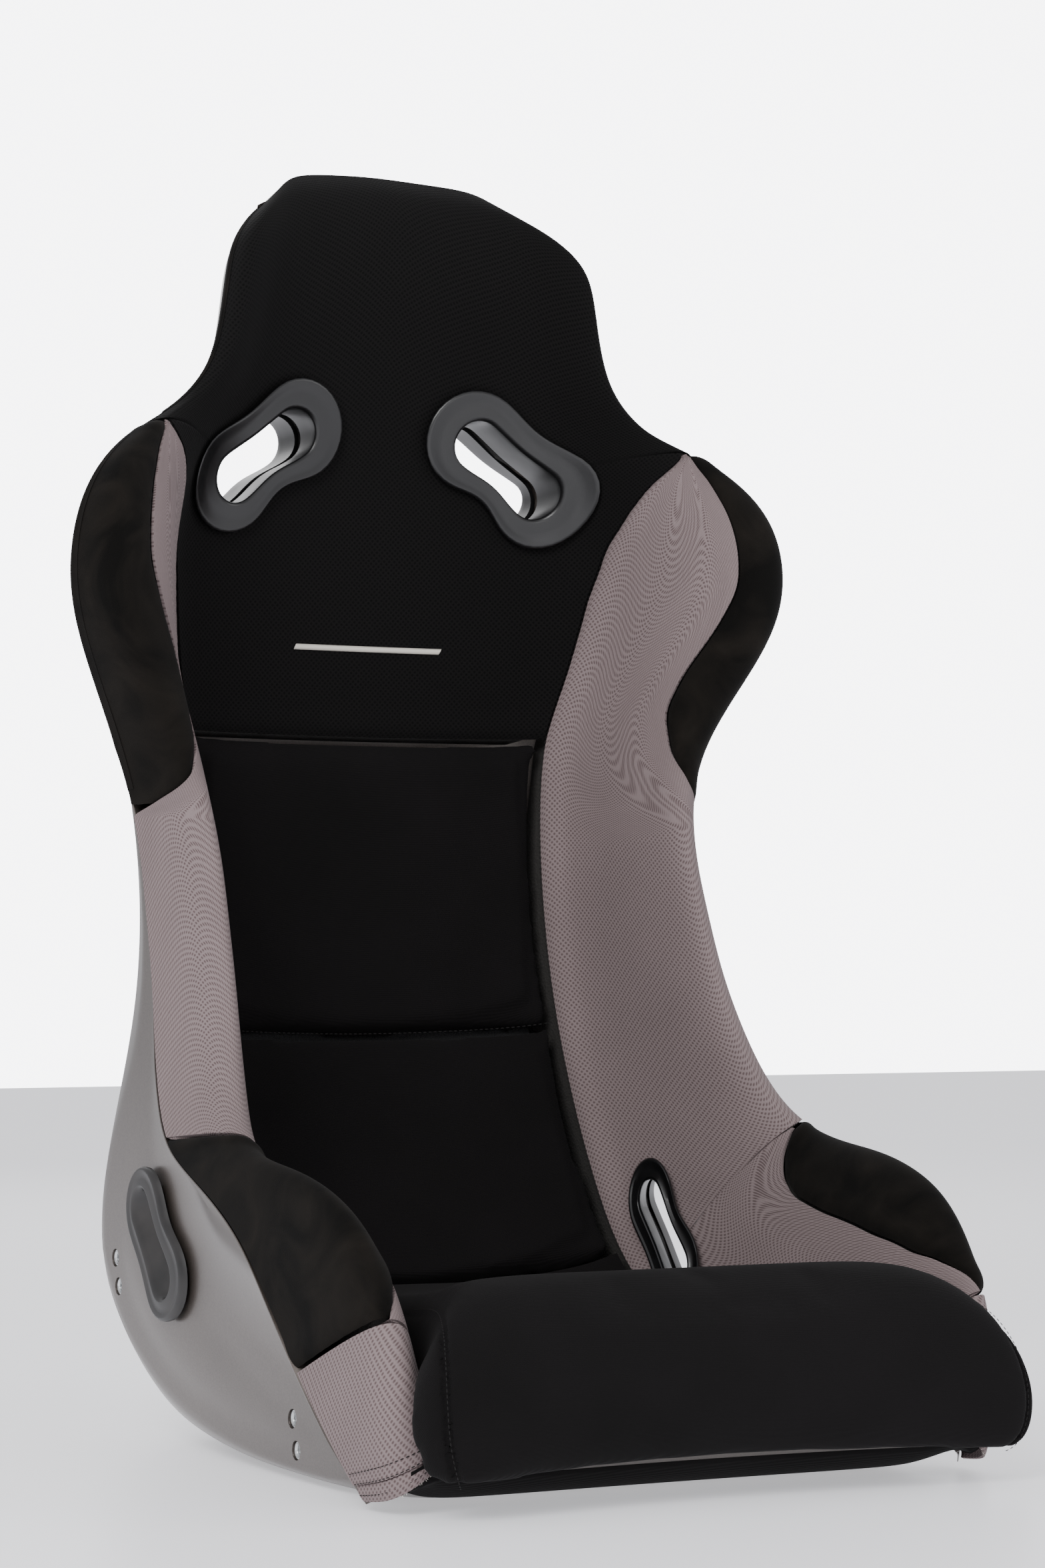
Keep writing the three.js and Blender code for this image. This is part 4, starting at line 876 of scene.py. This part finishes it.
# Hook tape: moulded nylon hooks on a woven backing, and its loop cloth on the pad and cushion.
hook_tape, shader = finish_named("hook_and_loop_tape", "#161617", roughness=0.9)
ends = add(hook_tape, "TexCoord")
hooks = add(hook_tape, "TexVoronoi", {"Vector": ends.outputs["Object"], "Scale": 1 / 0.0016,
                                      "Randomness": 0.35})
bristle = add(hook_tape, "Bump", {"Height": hooks.outputs["Distance"], "Strength": 0.9, "Distance": 0.0009},
              invert=True)
feed(shader, "Normal", bristle.outputs["Normal"])
refinish(["pan_hook_strip", "back_hook_strip", "lumbar_backing"], hook_tape)

# --- Seat cushion ------------------------------------------------------------------------
# A loose cushion: a foam slab that rises into a fat roll under the knees, in a sewn cover
# with a curved gusset at each end and a flat flap down the front.
CUSHION_STATIONS = [
    [(-150, 76), (110, -158, 78), (138, -172, 80), (150, -182, 78)],
    [(-138, 98), (112, -148, 100), (142, -164, 98), (156, -176, 80)],
    [(-165, 110), (120, -172, 112), (152, -184, 108), (162, -196, 76)],
    [(-250, 108), (128, -252, 110), (158, -256, 109), (165, -260, 70)],
    [(-340, 114), (132, -340, 116), (163, -342, 114), (168, -345, 70)],
    [(-415, 127), (138, -415, 129), (170, -418, 126), (174, -415, 70)],
    [(-476, 142), (150, -476, 142), (184, -474, 130), (181, -455, 74)],
    [(-524, 138), (160, -528, 136), (206, -524, 120), (206, -500, 100)],
    [(-548, 98), (165, -554, 94), (219, -554, 86), (224, -522, 80)],
    [(-549, 56), (165, -559, 51), (221, -562, 49), (229, -528, 50)],
    [(-539, 29), (162, -550, 25), (210, -560, 23), (222, -528, 28)],
    [(-526, 25), (160, -538, 22), (202, -546, 20), (214, -526, 23)],
]
UNDERSIDE = [
    ((-156, 74), (146, -182, 76)),
    ((-158, 74), (150, -186, 74)),
    ((-175, 70), (156, -200, 70)),
    ((-250, 66), (160, -260, 66)),
    ((-340, 66), (163, -345, 66)),
    ((-410, 68), (168, -412, 66)),
    ((-462, 70), (174, -456, 70)),
    ((-508, 76), (200, -512, 92)),
    ((-520, 70), (212, -528, 78)),
    ((-524, 52), (216, -534, 50)),
    ((-524, 38), (212, -534, 34)),
    ((-522, 31), (206, -534, 29)),
]


def underside_station(centre, edge):
    """A centre point and three more out to the edge, on a curve that leaves the centre level"""
    (y, z), (wide, edge_y, edge_z) = centre, edge
    return [centre, *[(wide * k, y + (edge_y - y) * k * k, z + (edge_z - z) * k * k) for k in (0.72, 0.9, 1)]]


CUSHION = Surface(CUSHION_STATIONS[::-1])
CUSHION_BASE = Surface([underside_station(*pair) for pair in UNDERSIDE[::-1]])


def cushion_place(s, t):
    """Round the cushion's section: over the face for the first three quarters of s, and back
    along the underside"""
    v = 0.05 + t * (CUSHION.last - 0.1)
    turn = 0.72
    over = CUSHION.at(-3.96 + 7.92 * np.minimum(s / turn, 1), v)
    under = CUSHION_BASE.at(3.9 - 7.8 * np.maximum(s - turn, 0) / (1 - turn), v)
    return np.where((s <= turn)[:, None], over, under)


cushion = moved_grid(150, 100, cushion_place, weld=True)
bmesh.ops.holes_fill(cushion, edges=[e for e in cushion.edges if e.is_boundary], sides=0)
bmesh.ops.recalc_face_normals(cushion, faces=cushion.faces[:])


def pan_room():
    """The space that the pan and bolsters take up to the cushion's sides"""
    def place(s, t):
        return COVER.raised((2 * s - 1) * 5.3, 0.05 + t * 8.4, np.full(s.shape, 2.6))
    return moved_grid(60, 70, place, lambda s, t: np.full(s.shape, 14.0))


cushion_cover = made_piece("seat_cushion_sewn_cover", cushion, pad_cloth, "seat_cushion",
                           ["seat_cushion_cover", "seat_cushion_gusset_left", "seat_cushion_gusset_right",
                            "seat_cushion_base"])
cut_away(cushion_cover, pan_room())
inflated(cushion_cover, 0.004)
softened(cushion_cover, 3)


def creased(piece, routes, depth, width):
    """Sinks a sewn seam into the cover along each route, a list of points"""
    points = [p for route in routes for p in route]
    tree = KDTree(len(points))
    for index, point in enumerate(points):
        tree.insert(point, index)
    tree.balance()
    for vertex in piece.data.vertices:
        gap = tree.find(vertex.co)[2]
        if gap < 4 * width:
            vertex.co = vertex.co - vertex.normal * depth * math.exp(-(gap / width) ** 2)


gusset_lines = [[Vector(p) for p in CUSHION.at(np.full(220, side * 3.0), np.linspace(0.2, 9.3, 220))]
                for side in (1, -1)]
finer = cushion_cover.modifiers.new("finer", "SUBSURF")
finer.levels = finer.render_levels = 1
bpy.context.view_layer.update()
applied(cushion_cover)
creased(cushion_cover, gusset_lines, 0.0045, 0.0028)
for side in (1, -1):
    stitched_line(side_name("cushion_gusset_stitching", side), CUSHION,
                  [(side * 2.97, v) for v in np.linspace(0.3, 6.0, 90)], 3.6, thread, 0.6, 0.4,
                  "seat_cushion")

# --- Harness bezels ----------------------------------------------------------------------
# Injection-moulded nylon rings that clip in from both faces, with a rolled lip that the
# straps slide over. The outer lap pair has gone dusty.
def moulded(name, base, light, rough):
    material, shader = finish_named(name, base, roughness=rough)
    ends = add(material, "TexCoord")
    dust = add(material, "TexNoise", {"Vector": ends.outputs["Object"], "Scale": 1 / 0.03, "Detail": 6.0})
    tone = add(material, "ValToRGB", {"Fac": dust.outputs["Fac"]})
    for stop, position, code in zip(tone.color_ramp.elements, (0.4, 0.75), (base, light)):
        stop.position, stop.color = position, linear(code)
    feed(shader, "Base Color", tone.outputs["Color"])
    rub = add(material, "MapRange", {"Value": dust.outputs["Fac"], "To Min": rough - 0.1,
                                     "To Max": rough + 0.14})
    feed(shader, "Roughness", rub.outputs["Result"])
    grain = add(material, "TexNoise", {"Vector": ends.outputs["Object"], "Scale": 1 / 0.0009, "Detail": 2.0})
    texture = add(material, "Bump", {"Height": grain.outputs["Fac"], "Strength": 0.2, "Distance": 0.0002})
    feed(shader, "Normal", texture.outputs["Normal"])
    return material


black_nylon = moulded("black_moulded_nylon", "#0b0b0c", "#131314", 0.33)
dusty_nylon = moulded("dusty_moulded_nylon", "#1a1919", "#2f2c2b", 0.45)


def landed(surface, slot, targets, guess):
    """Where straight lines through the slot meet a surface, found by moving out from its centre"""
    u, v = np.full(len(targets), guess[0]), np.full(len(targets), guess[1])
    step = 0.01
    for share in np.repeat(np.linspace(0, 1, 9), 4):
        goal = slot.centre + (targets - slot.centre) * share
        here = slot.inside(surface.at(u, v))[:, :2]
        du = (slot.inside(surface.at(u + step, v))[:, :2] - here) / step
        dv = (slot.inside(surface.at(u, v + step))[:, :2] - here) / step
        miss = goal - here
        det = du[:, 0] * dv[:, 1] - dv[:, 0] * du[:, 1]
        u = u + (miss[:, 0] * dv[:, 1] - miss[:, 1] * dv[:, 0]) / det
        v = v + (du[:, 0] * miss[:, 1] - du[:, 1] * miss[:, 0]) / det
    return u, v


def bezel(name, slot, surface, guess, up, flange, lip, material, node, side):
    """The ring's section swept round the slot. Its flange follows the seat, its lip runs in."""
    # points of the section are (outward from the slot, height over the seat's surface), in mm
    roll = [(3 - 3 * math.cos(a), 5.4 + 3.2 * math.sin(a)) for a in np.linspace(0, math.pi / 2, 7)]
    outer = [(flange - 2.6 + 2.6 * math.sin(a), 5.4 + 2.4 * math.cos(a))
             for a in np.linspace(0, math.pi / 2, 6)]
    dish = [(flange * 0.45, 7.2), (flange * 0.7, 7.1)]
    under = [(flange - 0.6, 3.6), (flange - 3, 3.4), (BEZEL_WALL, 3.4), (BEZEL_WALL, -lip)]
    section = [(0, -lip), (0, 0)] + roll + dish + outer + under
    centre_u, centre_v = landed(surface, slot, slot.centre[None], guess)
    deepest = slot.inside(surface.at(centre_u, centre_v))[0, 2] - lip * up
    rings = []
    for out, height in section:
        flat = slot.outline(out)
        u, v = landed(surface, slot, flat, guess)
        depth = slot.inside(surface.at(u, v))[:, 2] + height * up
        rings.append(slot.outside(flat, deepest if height < 0 else depth))
    rings = np.array(rings + rings[:1])
    count = rings.shape[1]

    def place(s, t):
        row = np.rint(t * (len(rings) - 1)).astype(int)
        column = np.rint(s * count).astype(int) % count
        return rings[row, column] * (side, 1, 1)

    shape = moved_grid(count, len(rings) - 1, place, weld=True)
    bmesh.ops.recalc_face_normals(shape, faces=shape.faces[:])
    made_piece(side_name(name, side), shape, material, replaces=[side_name(node, side)],
               sharp=40)


BEZELS = (
    ("shoulder_slot_front_bezel", SHOULDER_SLOT, COVER, (1.6, 16.4), -1, 19, 22, black_nylon,
     "shoulder_bezel_front"),
    ("shoulder_slot_rear_bezel", SHOULDER_SLOT, SHELL, (1.6, 16.4), 1, 19, 20, black_nylon,
     "shoulder_bezel_rear"),
    ("lap_slot_inner_bezel", LAP_SLOT, COVER, (2.5, 6.8), -1, 16, 12, black_nylon, "lap_bezel_inner"),
    ("lap_slot_outer_bezel", LAP_SLOT, SHELL, (3.6, 7.4), 1, 16, 12, dusty_nylon, "lap_bezel_outer"),
)
for side in (1, -1):
    for choices in BEZELS:
        bezel(*choices, side)
